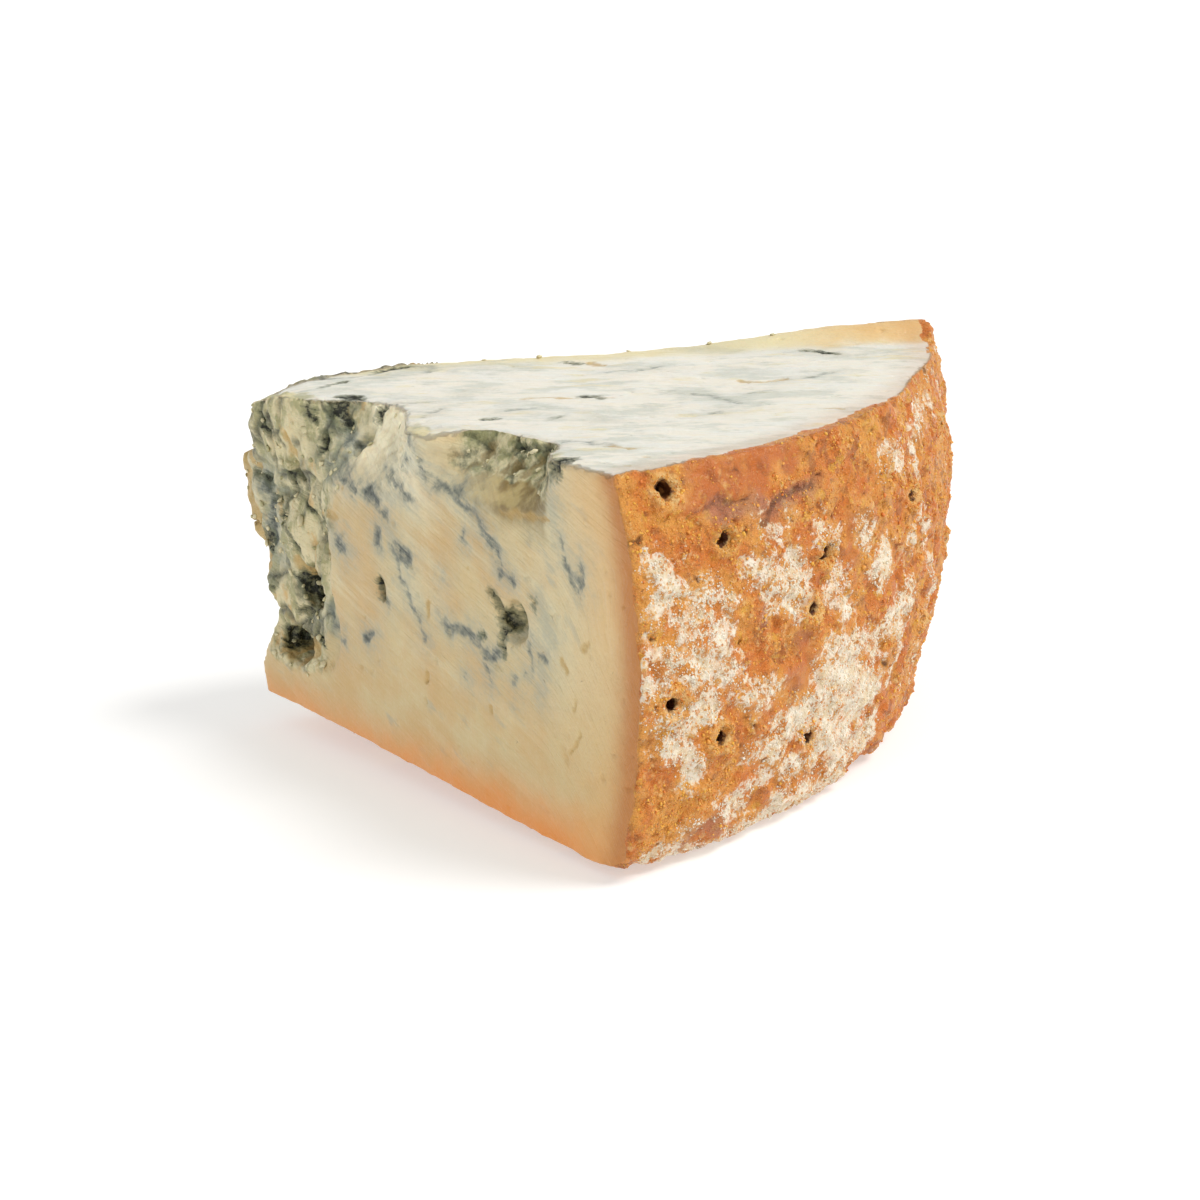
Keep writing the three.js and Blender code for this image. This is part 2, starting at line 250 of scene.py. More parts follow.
# ------------ patches on the rind
# half width in mm, then points as (degrees round, height)
WHITE_PATCHES = (
    (1.0, ((1.5, 35.5), (2.2, 33.8), (2.7, 32.8))),
    (1.0, ((1.3, 31.9), (2.2, 32.1))),
    (1.0, ((5.8, 33.0), (5.1, 32.3), (4.5, 31.2))),
    (1.0, ((5.1, 30.0), (6.2, 30.4), (6.7, 30.8))),
    (1.0, ((3.6, 29.6), (3.2, 28.3), (4.2, 27.6), (6.1, 27.3))),
    (1.6, ((1.8, 26.1), (3.2, 25.4), (5.6, 24.5))),
    (0.9, ((0.7, 23.8), (1.4, 24.3))),
    (1.7, ((3.2, 25.5), (4.1, 23.4), (5.4, 23.8), (6.6, 22.2))),
    (1.5, ((5.1, 19.6), (3.9, 18.7), (2.6, 18.0))),
    (1.0, ((2.0, 16.8), (3.3, 14.9), (4.3, 12.0))),
    (0.7, ((1.3, 19.2), (1.5, 18.3))),
    (1.0, ((9.2, 32.7), (10.3, 33.2), (11.8, 31.9), (13.4, 32.5))),
    (1.1, ((13.8, 30.6), (12.3, 30.1), (10.8, 30.7))),
    (0.7, ((11.6, 29.0), (13.3, 26.7))),
    (0.7, ((15.9, 34.9), (17.5, 33.7))),
    (1.0, ((17.8, 29.9), (18.5, 28.1), (17.2, 27.6), (18.9, 25.2))),
    (1.4, ((20.0, 20.1), (17.7, 19.9), (16.7, 18.5))),
    (1.7, ((19.8, 18.8), (18.2, 17.3), (16.9, 15.9))),
    (1.6, ((19.3, 12.9), (15.9, 14.7), (13.8, 14.5), (12.1, 13.1))),
    (1.2, ((15.4, 12.6), (20.1, 9.1), (21.1, 10.9))),
    (0.8, ((8.8, 19.1), (10.4, 18.9), (11.2, 19.1))),
    (0.9, ((13.0, 11.0), (11.7, 11.1), (9.6, 12.5))),
    (1.0, ((18.3, 6.4), (15.4, 7.0), (14.0, 7.0))),
    (0.9, ((24.9, 4.9), (21.2, 4.5), (18.6, 3.3))),
    (0.9, ((17.5, 1.6), (12.0, 1.2), (4.0, 0.8))),
    (0.6, ((10.2, 7.2), (11.5, 7.7))),
    (0.6, ((7.9, 5.5), (9.7, 5.5))),
    (0.4, ((4.7, 5.4), (5.5, 5.2))),
    (0.6, ((2.2, 2.5), (2.8, 2.9))),
    (0.7, ((26.8, 40.4), (26.9, 39.5))),
    (0.7, ((35.2, 43.0), (33.6, 40.7))),
    (0.5, ((32.0, 39.4), (31.5, 37.1))),
    (0.9, ((24.4, 30.1), (24.8, 28.1), (23.9, 26.3))),
    (0.6, ((31.4, 31.3), (32.7, 28.2))),
    (0.7, ((21.0, 34.2), (21.8, 31.5))),
    (1.0, ((27.3, 21.0), (29.6, 21.9))),
    (0.4, ((35.5, 23.2), (37.9, 17.1))),
    (0.3, ((10.0, 37.7), (11.6, 37.3))),
    (0.7, ((23.9, 39.8), (25.1, 41.4))),
    (2.4, ((17.4, 18.8), (20.8, 15.3), (24.7, 12.0))),
    (2.4, ((17.0, 14.6), (20.1, 11.8), (23.0, 11.3))),
    (2.0, ((14.1, 13.9), (18.8, 9.9), (21.4, 9.3))),
    (1.6, ((20.7, 5.7), (27.1, 6.2), (20.6, 2.5))),
    (1.3, ((18.5, 20.1), (20.2, 19.9), (24.6, 18.4))),
    (1.0, ((26.0, 20.3), (28.9, 17.7), (29.1, 12.4))),
    (1.0, ((23.0, 27.7), (24.3, 28.4))),
    (1.0, ((13.8, 3.7), (17.0, 3.2), (22.0, 2.0))),
)
WAX_PATCHES = (
    (1.6, ((5.8, 44.5), (13.4, 44.3))),
    (1.2, ((4.8, 41.7), (6.2, 42.8), (11.1, 42.5))),
    (1.4, ((13.0, 19.0), (14.4, 18.6), (15.0, 21.0))),
    (0.7, ((8.9, 18.0), (10.2, 17.4))),
    (0.5, ((19.7, 36.1), (19.6, 31.2), (20.5, 28.4))),
    (0.9, ((13.6, 19.9), (15.0, 21.1), (14.3, 24.1))),
)
PURPLE_PATCHES = (
    (0.9, ((6.4, 40.3), (8.5, 40.1), (10.1, 40.0))),
    (0.5, ((10.0, 38.3), (11.0, 39.0), (13.4, 40.3), (15.6, 40.6))),
    (0.6, ((4.4, 1.8), (5.5, 4.2), (7.3, 4.5))),
    (0.4, ((10.1, 27.7),)),
    (0.5, ((6.5, 25.5),)),
)
OCHRE_PATCHES = (
    (0.9, ((0.7, 21.8), (1.3, 22.5), (2.8, 22.6))),
    (1.4, ((6.3, 16.7), (5.4, 13.7))),
    (1.6, ((2.5, 9.2), (7.5, 8.7), (5.0, 5.6), (1.8, 4.6))),
    (0.9, ((0.5, 44.5), (0.8, 38.0), (0.6, 30.0))),
    (0.8, ((12.4, 42.5),)),
    (0.8, ((3.6, 39.9),)),
    (0.9, ((7.0, 33.1), (7.6, 31.9))),
    (1.2, ((7.4, 37.3),)),
    (1.0, ((16.8, 32.0),)),
    (1.0, ((15.6, 26.2),)),
)
CREASE = (
    (0.12, ((4.4, 40.4), (5.9, 41.1), (7.8, 41.4), (9.4, 41.0))),
    (0.30, ((15.6, 40.6), (13.4, 40.3), (12.0, 40.1), (11.0, 39.0), (9.9, 38.1))),
)

# ------------ grain and streaks
FRONT_SLOPE = 0.36  # the knife's marks fall towards the rind
BEND_START = 80.0  # and bend down beyond this distance from the axis
BEND_RATE = 0.034
BEND_FADE = (24.0, 38.0)
TOP_STREAK = math.radians(42)
CRUMB_END = (28.0, 39.0)
CRUMB_LEAN = 0.25  # the crumbled part reaches further along the cut higher up
CRUMB_FOOT = (8.0, 11.0)
CURD_SIZE = (2.8, 2.8, 2.3)
GRAIN_SIZE = 0.8
WHITE_SPREAD = 0.6  # how much wider than its strokes the white mould is
WILD_WHITE = (24, 30)  # beyond this many degrees round, white mould also grows where no stroke lies

# ------------ where each kind of surface lies
# a pair is where a thing starts and where it is whole; of two pairs, the second is where it fades away
FOOT_HEIGHT = 6.0  # the base and the rind's rounded foot lie below this
CRUST_DEPTH = 3.5  # how far inside its smooth form the rind's surface may lie
FOOT_CRUST_DEPTH = 8.0
TOP_HEIGHT = (44.2, 45.0)
REAR_CUT_DEPTH = 3.0  # how far in front of the rear cut's plane its surface may lie
FRONT_CUT_DEPTH = 12.0  # how far behind the front cut's plane its marks may reach
POINT_END = 30.0
TORN_ALONG = ((26, 34), (54, 65))
TORN_HEIGHT = (33, 42)
NOTCH_ALONG = ((60, 66), (84, 88))
NOTCH_HEIGHT = (39.5, 42.5)
NOTCH_DEPTH = 10.0
HOLLOW_ALONG = ((62, 76), (85.5, 87.0))
HOLLOW_HEIGHT = ((35.5, 41.0), (43.5, 45.0))


# ============ noise and other small tools
LATTICE = 256
DICE = np.random.default_rng(11)
SHUFFLE = DICE.permutation(LATTICE)
SLOPES = DICE.normal(size=(3, LATTICE))
SLOPES /= np.linalg.norm(SLOPES, axis=0)
SPOTS = DICE.random((3, LATTICE))
SEED_STEP = np.array([17.3, 31.7, 9.1])


def ramp(value, start, end):
    """0 before start, 1 after end, smooth between; start may be the larger."""
    share = np.clip((value - start) / (end - start), 0, 1)
    return share * share * (3 - 2 * share)


def plateau(value, rise, fall):
    return ramp(value, *rise) * (1 - ramp(value, *fall))


def mix(a, b, share):
    return a + (b - a) * share


def noise(points, size, seed):
    """Smooth noise from about -1 to 1, with lumps about `size` across."""
    spot = points / np.asarray(size) + seed * SEED_STEP
    cell = np.floor(spot)
    part = spot - cell
    fade = part * part * part * (part * (part * 6 - 15) + 10)
    ix, iy, iz = cell.astype(np.int64).T
    total = np.zeros(len(points))
    for dx in (0, 1):
        key_x = SHUFFLE[(ix + dx) % LATTICE]
        share_x = fade[:, 0] if dx else 1 - fade[:, 0]
        for dy in (0, 1):
            key_xy = SHUFFLE[(key_x + iy + dy) % LATTICE]
            share_xy = share_x * (fade[:, 1] if dy else 1 - fade[:, 1])
            for dz in (0, 1):
                slope = SLOPES[:, SHUFFLE[(key_xy + iz + dz) % LATTICE]]
                rise = sum(slope[k] * (part[:, k] - step) for k, step in enumerate((dx, dy, dz)))
                total += share_xy * (fade[:, 2] if dz else 1 - fade[:, 2]) * rise
    return total * 1.6


def rough_noise(points, size, seed, octaves=3):
    total = np.zeros(len(points))
    for octave in range(octaves):
        total += noise(points, np.asarray(size) / 2**octave, seed + octave) / 2**octave
    return total


def warped(points, size, reach, seed):
    """The points, each pushed up to about `reach` mm by smooth noise."""
    push = np.stack([noise(points, size, seed + 40 + k) for k in range(3)], axis=1)
    return points + reach * push


def cells(points, size, seed):
    """Irregular cells about `size` across: the distances to the two nearest middles, and a number."""
    spot = points / np.asarray(size) + seed * SEED_STEP
    home = np.floor(spot)
    part = spot - home
    ix, iy, iz = home.astype(np.int64).T
    near = np.full(len(points), FAR)
    next_near = near.copy()
    name = np.zeros(len(points), np.int64)
    for dx, dy, dz in np.ndindex(3, 3, 3):
        step = (dx - 1, dy - 1, dz - 1)
        key_x = SHUFFLE[(ix + step[0]) % LATTICE]
        key_xy = SHUFFLE[(key_x + iy + step[1]) % LATTICE]
        key = SHUFFLE[(key_xy + iz + step[2]) % LATTICE]
        away = sum((step[k] + SPOTS[k, key] - part[:, k]) ** 2 for k in range(3))
        closer = away < near
        next_near = np.where(closer, near, np.minimum(next_near, away))
        name = np.where(closer, key, name)
        near = np.where(closer, away, near)
    return np.sqrt(near), np.sqrt(next_near), name / LATTICE


def reach(u, v, strokes):
    """How far each flat place (u, v) lies outside the nearest stroke; less than 0 inside one."""
    nearest = np.full(u.shape, FAR)
    for half_width, route in strokes:
        for (u0, v0), (u1, v1) in zip(route, route[1:] or route):
            du, dv = u1 - u0, v1 - v0
            share = np.clip(((u - u0) * du + (v - v0) * dv) / max(du * du + dv * dv, 1e-9), 0, 1)
            away = np.hypot(u - u0 - share * du, v - v0 - share * dv)
            nearest = np.minimum(nearest, away - half_width)
    return nearest


# ============ the skin of the wedge
def shown_mesh(thing):
    """A new mesh with the thing's modifiers applied."""
    return bpy.data.meshes.new_from_object(thing.evaluated_get(bpy.context.evaluated_depsgraph_get()))


def new_object(name, mesh):
    thing = bpy.data.objects.new(name, mesh)
    bpy.context.scene.collection.objects.link(thing)
    return thing


def read(items, what, width, kind=np.float64):
    """What each of a mesh's items has, as a row of `width` numbers for each."""
    values = np.empty(len(items) * width, kind)
    items.foreach_get(what, values)
    return values.reshape(-1, width)


class Skin:
    """The fine skin: points and normals in the drum's frame, and where each point is on the wedge."""

    def __init__(self, thing):
        self.thing = thing
        mesh = thing.data
        self.edges = read(mesh.edges, "vertices", 2, np.int64)
        self.points = read(mesh.vertices, "co", 3) / MM - DRUM_AXIS
        self.locate()

    def locate(self):
        p = self.points
        self.write()
        self.normals = read(self.thing.data.vertices, "normal", 3)
        n = self.normals
        self.angle = np.arctan2(p[:, 1], p[:, 0])
        self.radius = np.hypot(p[:, 0], p[:, 1])
        self.round = np.degrees(self.angle)
        radial = np.stack([np.cos(self.angle), np.sin(self.angle), np.zeros(len(p))], axis=1)
        self.faces_out = np.einsum("ij,ij->i", n, radial)
        self.faces_front = -n[:, 1]
        self.faces_rear = n @ REAR_FACING
        self.faces_point = -n[:, 0]
        self.faces_up = n[:, 2]
        self.below_rind = outer_radius(self.angle, p[:, 2]) - self.radius

    def write(self):
        mesh = self.thing.data
        mesh.vertices.foreach_set("co", ((self.points + DRUM_AXIS) * MM).ravel())
        mesh.update()

    def relax(self, share):
        """Moves each point towards the middle of its neighbours, each by its own share."""
        a, b = self.edges.T
        count = np.bincount(np.concatenate([a, b]), minlength=len(self.points))
        middle = np.empty_like(self.points)
        for axis in range(3):
            line = self.points[:, axis]
            total = np.bincount(a, line[b], len(line)) + np.bincount(b, line[a], len(line))
            middle[:, axis] = total / count
        self.points += (middle - self.points) * share[:, None]


def outer_radius(angle, z):
    """The radius of the rind's smooth outside."""
    turn = angle / WEDGE_ANGLE
    belly = mix(*BELLY_RADIUS, turn)
    belly_height = mix(*BELLY_HEIGHT, turn)
    up = np.clip((z - belly_height) / (HEIGHT - belly_height), 0, 1)
    down = np.clip((belly_height - z) / belly_height, 0, 1)
    return belly - (belly - RIM_RADIUS) * up**2 - mix(*BELLY_TAPER, turn) * down**2


def from_piercing(points):
    """How far each point lies outside the nearest needle hole, as if the holes reached the axis."""
    nearest = np.full(len(points), FAR)
    for degrees, height, diameter in PIERCINGS:
        angle = math.radians(degrees)
        along = points[:, 0] * math.cos(angle) + points[:, 1] * math.sin(angle)
        aside = points[:, 1] * math.cos(angle) - points[:, 0] * math.sin(angle)
        away = np.where(along > 0, np.hypot(aside, points[:, 2] - height), FAR)
        nearest = np.minimum(nearest, away - diameter / 2)
    return nearest


def drop_loose_bits(mesh):
    """Deletes every part of a mesh but its largest, which is the wedge itself."""
    a, b = read(mesh.edges, "vertices", 2, np.int64).T
    part = np.arange(len(mesh.vertices))
    while np.any(part[a] != part[b]):
        lower = np.minimum(part[a], part[b])
        np.minimum.at(part, part[a], lower)
        np.minimum.at(part, part[b], lower)
        part = part[part]
    wedge = np.bincount(part).argmax()
    loose = set(np.nonzero(part != wedge)[0].tolist())
    if not loose:
        return
    editable = bmesh.new()
    editable.from_mesh(mesh)
    bmesh.ops.delete(editable, geom=[v for v in editable.verts if v.index in loose], context="VERTS")
    editable.to_mesh(mesh)
    editable.free()


def fine_skin(node):
    """The CAD solid's shape as a fine even mesh with its facets smoothed away."""
    coarse = new_object("cheese_body", node.data.copy())
    remesh = coarse.modifiers.new("fine", "REMESH")
    remesh.mode = "VOXEL"
    remesh.voxel_size = VOXEL * MM
    mesh = shown_mesh(coarse)
    coarse.modifiers.clear()
    drop_loose_bits(mesh)
    coarse.data = mesh
    skin = Skin(coarse)
    near_hole = (from_piercing(skin.points) < HOLE_RIM) & (skin.radius > HOLES_BEYOND)
    share = np.where(near_hole, RELAX_SHARE_AT_HOLES, RELAX_SHARE)
    for _ in range(RELAX_STEPS):
        skin.relax(share)
    skin.locate()
    return skin


# ============ where each kind of surface is
class Area:
    """Some of the skin's points, with all that is known of each."""

    def __init__(self, skin, pick):
        self.points = skin.points[pick]
        self.angle = skin.angle[pick]
        self.round = skin.round[pick]
        self.fields = {name: values[pick] for name, values in skin.fields.items()}


def describe(skin):
    """Fills skin.fields with one number per point for each thing that relief and colour depend on."""
    x, y, z = skin.points.T
    f = skin.fields = {}
    low = z < FOOT_HEIGHT
    outside = (skin.below_rind < CRUST_DEPTH) | ((skin.below_rind < FOOT_CRUST_DEPTH) & low)
    f["on_rind"] = ramp(skin.faces_out, 0.3, 0.75) * outside
    f["on_base"] = ramp(-skin.faces_up, 0.35, 0.8) * low
    f["on_top"] = ramp(skin.faces_up, 0.55, 0.9) * ramp(z, *TOP_HEIGHT)
    from_rear = x * math.sin(WEDGE_ANGLE) - y * math.cos(WEDGE_ANGLE)
    f["from_rear"] = from_rear
    f["on_rear"] = ramp(skin.faces_rear, 0.45, 0.85) * (from_rear < REAR_CUT_DEPTH)
    at_point = skin.faces_point * (x < POINT_END)
    cut = np.max([skin.faces_front, skin.faces_up, skin.faces_rear, at_point], axis=0)
    crust = np.maximum(skin.faces_out * outside, -skin.faces_up * low)
    ragged = np.maximum(0.2, 1.1 + 1.3 * noise(skin.points, 2.2, 29))
    spread = 2 * ramp(skin.below_rind, ragged, 0.0) - 1
    f["rindness"] = np.maximum(np.where(outside | low, crust - cut, -1.0), spread)
    f["edge"] = skin.below_rind
    f["foot"] = z.copy()
    f["hole"] = np.where(skin.below_rind < PIERCING_DEPTH + 1.5, from_piercing(skin.points), FAR)
    describe_cuts(skin)
    describe_veins(skin)
    describe_rind(skin)


def knife_flow(skin):
    """Places along and across the marks that the knife left, in mm."""
    x, y, z = skin.points.T
    f = skin.fields
    bend = np.maximum(0, x - BEND_START) ** 2 * BEND_RATE * (1 - ramp(z, *BEND_FADE))
    front_across = z + FRONT_SLOPE * x + bend
    front_along = x - FRONT_SLOPE * z
    c, s = math.cos(TOP_STREAK), math.sin(TOP_STREAK)
    top_along = x * c + y * s
    top_across = y * c - x * s
    rear_along = np.hypot(x, y)
    on_top = f["on_top"] > 0.5
    on_rear = f["on_rear"] > 0.5
    along = np.where(on_top, top_along, np.where(on_rear, rear_along, front_along))
    rear_across = z - FRONT_SLOPE * rear_along
    across = np.where(on_top, top_across, np.where(on_rear, rear_across, front_across))
    return np.stack([along, across, 0.2 * y], axis=1)


def describe_cuts(skin):
    """Where the cuts crumbled, tore or chipped, and the curds there."""
    f = skin.fields
    f["flow"] = knife_flow(skin)
    x, y, z = warped(skin.points, 4.0, 1.6, 3).T
    side = 1 - ramp(f["on_top"], 0.2, 0.8)
    uneven = 3.5 * noise(skin.points, 4.5, 27) + 1.5 * noise(skin.points, 1.6, 28)
    in_point = 1 - ramp(np.hypot(x, y) + uneven - CRUMB_LEAN * (z - 22), *CRUMB_END)
    f["crumb"] = in_point * ramp(z, *CRUMB_FOOT) * side * (1 - f["on_rind"]) * (1 - f["on_base"])
    front_side = side * (y < FRONT_CUT_DEPTH) * (skin.faces_front > -0.2)
    in_notch = side * (y < NOTCH_DEPTH)
    f["torn"] = plateau(x, *TORN_ALONG) * ramp(z, *TORN_HEIGHT) * front_side
    f["notch"] = plateau(x, *NOTCH_ALONG) * ramp(z, *NOTCH_HEIGHT) * in_notch
    f["hollow"] = plateau(x, *HOLLOW_ALONG) * plateau(z, *HOLLOW_HEIGHT) * in_notch
    near, next_near, _ = cells(warped(skin.points, 4.0, 1.6, 5), CURD_SIZE, 1)
    fold = 2 * np.abs(noise(warped(skin.points, 3.0, 1.2, 6), (2.8, 2.8, 6.5), 60))
    f["seam"] = mix(next_near - near, fold, f["crumb"])
    f["lip"] = ramp(y, 5.5, 0.5) * ramp(x, 92, 84) * f["on_top"]
    f["bulge"] = np.sqrt(np.clip(1 - (near / 0.95) ** 2, 0, 1))


def describe_veins(skin):
    f = skin.fields
    x, y, _ = skin.points.T
    wander = warped(warped(skin.points, 2.6, 0.8, 3), 0.9, 0.35, 4)
    front = (y < FRONT_CUT_DEPTH) & (f["from_rear"] > 6) & (f["on_rind"] < 0.5)
    behind = 0.5 * f["on_top"][front] * np.maximum(y[front] - 1.5, 0)
    top = f["on_top"] > 0.3
    strokes = (
        ("vein", BLUE_VEINS, TOP_VEINS),
        ("mould", BLACK_MOULD, TOP_MOULD),
        ("smear", GREY_SMEARS, TOP_SMEARS),
        ("tan", TAN_MARKS, TOP_YELLOW),
    )
    for name, on_front, on_top in strokes:
        f[name] = np.full(len(x), FAR)
        f[name][front] = reach(wander[front, 0], wander[front, 2], on_front) + behind
        f[name][top] = np.minimum(f[name][top], reach(wander[top, 0], wander[top, 1], on_top))
    elsewhere = np.nonzero((f["on_rear"] > 0.2) | ((x < 24) & (y > 3)))[0]
    wild_veins(skin, elsewhere)


def wild_veins(skin, pick):
    """Veins and mould pockets where no stroke lies: thin sheets where smooth noise is nil."""
    f = skin.fields
    inside = ramp(f["edge"][pick], 7, 16) * ramp(f["foot"][pick], 5, 12)
    p = warped(skin.points[pick], 7.0, 2.5, 60)
    sheet = np.abs(noise(p, 15.0, 71)) * 15.0 * 0.55
    wide = 0.6 * ramp(noise(p, 13.0, 83), -0.1, 0.5) * inside
    vein = np.where(wide > 0.02, sheet - wide, FAR)
    pocket = (0.62 - noise(p, (5.0, 5.0, 4.0), 97) * inside) * 5.0
    f["vein"][pick] = np.minimum(f["vein"][pick], vein)
    f["mould"][pick] = np.minimum(f["mould"][pick], pocket)
    f["smear"][pick] = np.minimum(f["smear"][pick], vein - 0.5)


def describe_rind(skin):
    """Patches of mould, wax and crust on the rind, and its grains and pits."""
    f = skin.fields
    rind = np.nonzero(f["on_rind"] > 0.01)[0]
    points = skin.points[rind]
    wander = warped(points, 3.0, 0.9, 7)
    arc = RIM_RADIUS * np.arctan2(wander[:, 1], wander[:, 0])
    height = wander[:, 2]

    def store(name, values, elsewhere):
        f[name] = np.full(len(skin.points), elsewhere)
        f[name][rind] = values

    def patch(strokes):
        flat = [(half, [(RIM_RADIUS * math.radians(a), h) for a, h in route]) for half, route in strokes]
        return reach(arc, height, flat)

    far_white = 2.3 - noise(warped(points, 4.0, 1.5, 21), (7, 7, 9), 33) * 4.0
    beyond = ramp(skin.round[rind], *WILD_WHITE)
    white = patch(WHITE_PATCHES) - WHITE_SPREAD
    store("white", mix(white, np.minimum(white, far_white), beyond), FAR)
    store("wax", 1 - ramp(patch(WAX_PATCHES), -0.3, 1.0), 0.0)
    store("purple", 1 - ramp(patch(PURPLE_PATCHES), -0.5, 1.2), 0.0)
    store("ochre", 1 - ramp(patch(OCHRE_PATCHES), -0.3, 1.0), 0.0)
    store("crease", patch(CREASE), FAR)
    near, _, name = cells(warped(points, 1.5, 0.4, 9), GRAIN_SIZE, 4)
    coarse = ramp(noise(points, 5.0, 37), -0.35, 0.3)
    dome = np.sqrt(np.clip(1 - (near / 0.7) ** 2, 0, 1))
    store("grain", dome * (0.35 + 0.65 * name) * mix(0.3, 1.0, coarse), 0.0)
    store("pit", ramp(noise(points, 1.3, 35), 0.58, 0.8), 0.0)


# ============ relief
def raise_relief(skin):
    """Moves every point along its normal by the relief of the surface that it lies on."""
    rind = skin.fields["on_rind"]
    base = skin.fields["on_base"]
    paste = np.clip(1 - rind - base, 0, 1)
    lift = np.zeros(len(rind))
    for share, relief in ((rind, rind_relief), (base, base_relief), (paste, paste_relief)):
        pick = np.nonzero(share > 0.001)[0]
        lift[pick] += share[pick] * relief(Area(skin, pick))
    skin.points += skin.normals * lift[:, None]
    skin.points[:, 2] = np.maximum(skin.points[:, 2], 0)
    skin.locate()


def rind_relief(area):
    f = area.fields
    p = area.points
    granular = 1 - 0.85 * f["wax"]
    broad = 0.30 * noise(p, 8.0, 2)
    plates = 0.42 * ramp(rough_noise(p, 3.2, 12), -0.15, 0.25)
    grains = 0.26 * f["grain"] * granular
    fine = 0.22 * rough_noise(p, 1.2, 15, 2) * granular
    pits = -0.30 * f["pit"] * granular * ramp(f["white"], -0.3, 0.8)
    bloom = 0.12 * (1 - ramp(f["white"], -0.4, 0.6)) * (0.8 + 0.5 * noise(p, 1.0, 17))
    ring = 0.60 * np.exp(-(((f["hole"] - 0.7) / 0.6) ** 2)) * (0.7 + noise(p, 1.2, 19))
    crater = -0.25 * np.exp(-((f["hole"] / 0.4) ** 2))
    crease = -0.35 * np.exp(-((np.maximum(f["crease"], 0) / 0.4) ** 2))
    along_fold = np.stack([RIM_RADIUS * area.angle, 0 * p[:, 2], p[:, 2]], axis=1)
    folds = 0.36 * noise(warped(along_fold, 6.0, 0.8, 23), (2.6, 1, 13), 25) * ramp(area.round, 19, 27)
    return broad + plates + grains + fine + pits + bloom + ring + crater + crease + folds


def base_relief(area):
    return -0.10 - 0.12 * rough_noise(area.points, 2.5, 41)


def paste_relief(area):
    """Knife marks on the cuts, curds where the cheese crumbled, and hollows where the mould grew."""
    f = area.fields
    p = area.points
    groove = 0.06 * noise(f["flow"], (13, 0.6, 2), 53) + 0.04 * noise(f["flow"], (6, 0.3, 2), 55)
    pock = -0.25 * ramp(noise(p, 1.7, 57), 0.58, 0.78)
    knife = 0.10 * noise(p, 6.0, 51) + 0.09 * noise(p, 2.2, 52) + groove + pock
    tear = 0.34 * noise(f["flow"], (7, 1.2, 2), 61) + 0.34 * rough_noise(p, 1.5, 63)
    pressed = ramp(f["seam"], 0.0, 0.34)
    curd = 0.36 * pressed - 0.14
    curd += 0.62 * noise(p, (2.4, 2.4, 6.0), 58) + 0.30 * rough_noise(p, (1.3, 1.3, 2.0), 59)
    flake = ramp(p[:, 0], 18, 14)
    curd = curd * (1 - 0.6 * flake) + 0.9 * flake  # the thin flake at the far point keeps its thickness
    lumps = 1.30 * f["bulge"] - 0.70 + 0.25 * rough_noise(p, 1.5, 67)
    lift = mix(knife, tear, np.maximum(f["torn"], 0.8 * f["lip"]))
    lift = mix(lift, lumps, f["notch"])
    lift = mix(lift, curd, f["crumb"])
    sunk = -0.75 * (1 - ramp(f["mould"], -0.6, 0.35)) * (1 - 0.6 * f["on_top"])
    lined = -0.10 * (1 - ramp(f["vein"], -0.2, 0.25)) - 0.20 * (1 - ramp(f["tan"], -0.2, 0.15))
    rough = 0.18 * noise(p, 0.6, 69) * (1 - ramp(f["mould"], -0.2, 0.8))
    return lift + sunk + lined + rough


# ============ thinning and handing over
SHADER_FIELDS = (
    "rindness", "edge", "foot", "from_rear", "on_top", "vein", "mould", "smear", "tan", "crumb", "seam",
    "torn", "notch", "bulge", "lip", "hollow", "white", "wax", "purple", "ochre", "grain", "pit", "hole",
    "crease",
)
FIELD_LIMIT = 30.0


def store_fields(skin):
    mesh = skin.thing.data
    for name in SHADER_FIELDS:
        layer = mesh.attributes.new(name, "FLOAT", "POINT")
        layer.data.foreach_set("value", np.clip(skin.fields[name], -FIELD_LIMIT, FIELD_LIMIT))
    layer = mesh.attributes.new("flow", "FLOAT_VECTOR", "POINT")
    layer.data.foreach_set("vector", skin.fields["flow"].ravel())


def thin(skin):
    """Brings the skin under the limit of faces, mostly by longer edges on the base and the rear cut.

    The modifier tells flat from curved by a fixed small number that suits millimetres, so the mesh is
    scaled for it.
    """
    thing = skin.thing
    ease = np.full(len(skin.points), EASE_SHOWN)
    ease[skin.fields["on_rear"] > 0.9] = EASE_REAR
    ease[skin.fields["on_base"] > 0.9] = EASE_BASE
    group = thing.vertex_groups.new(name="ease")
    for level in (EASE_SHOWN, EASE_REAR, EASE_BASE):
        group.add(np.nonzero(ease == level)[0].tolist(), level, "REPLACE")
    thing.data.transform(Matrix.Scale(1 / MM, 4))
    thing.data.calc_loop_triangles()
    fewer = thing.modifiers.new("fewer", "DECIMATE")
    fewer.ratio = BODY_FACES / len(thing.data.loop_triangles)
    fewer.vertex_group = "ease"
    fewer.vertex_group_factor = EVENNESS
    mesh = shown_mesh(thing)
    mesh.transform(Matrix.Scale(MM, 4))
    thing.modifiers.clear()
    thing.data = mesh
    thing.vertex_groups.clear()
    mesh.shade_smooth()


# ============ colours and materials
def srgb(red, green, blue):
    """A screen colour from 0 to 255 as the linear colour that Blender mixes."""
    parts = [c / 255 for c in (red, green, blue)]
    linear = [c / 12.92 if c <= 0.04045 else ((c + 0.055) / 1.055) ** 2.4 for c in parts]
    return (*linear, 1.0)


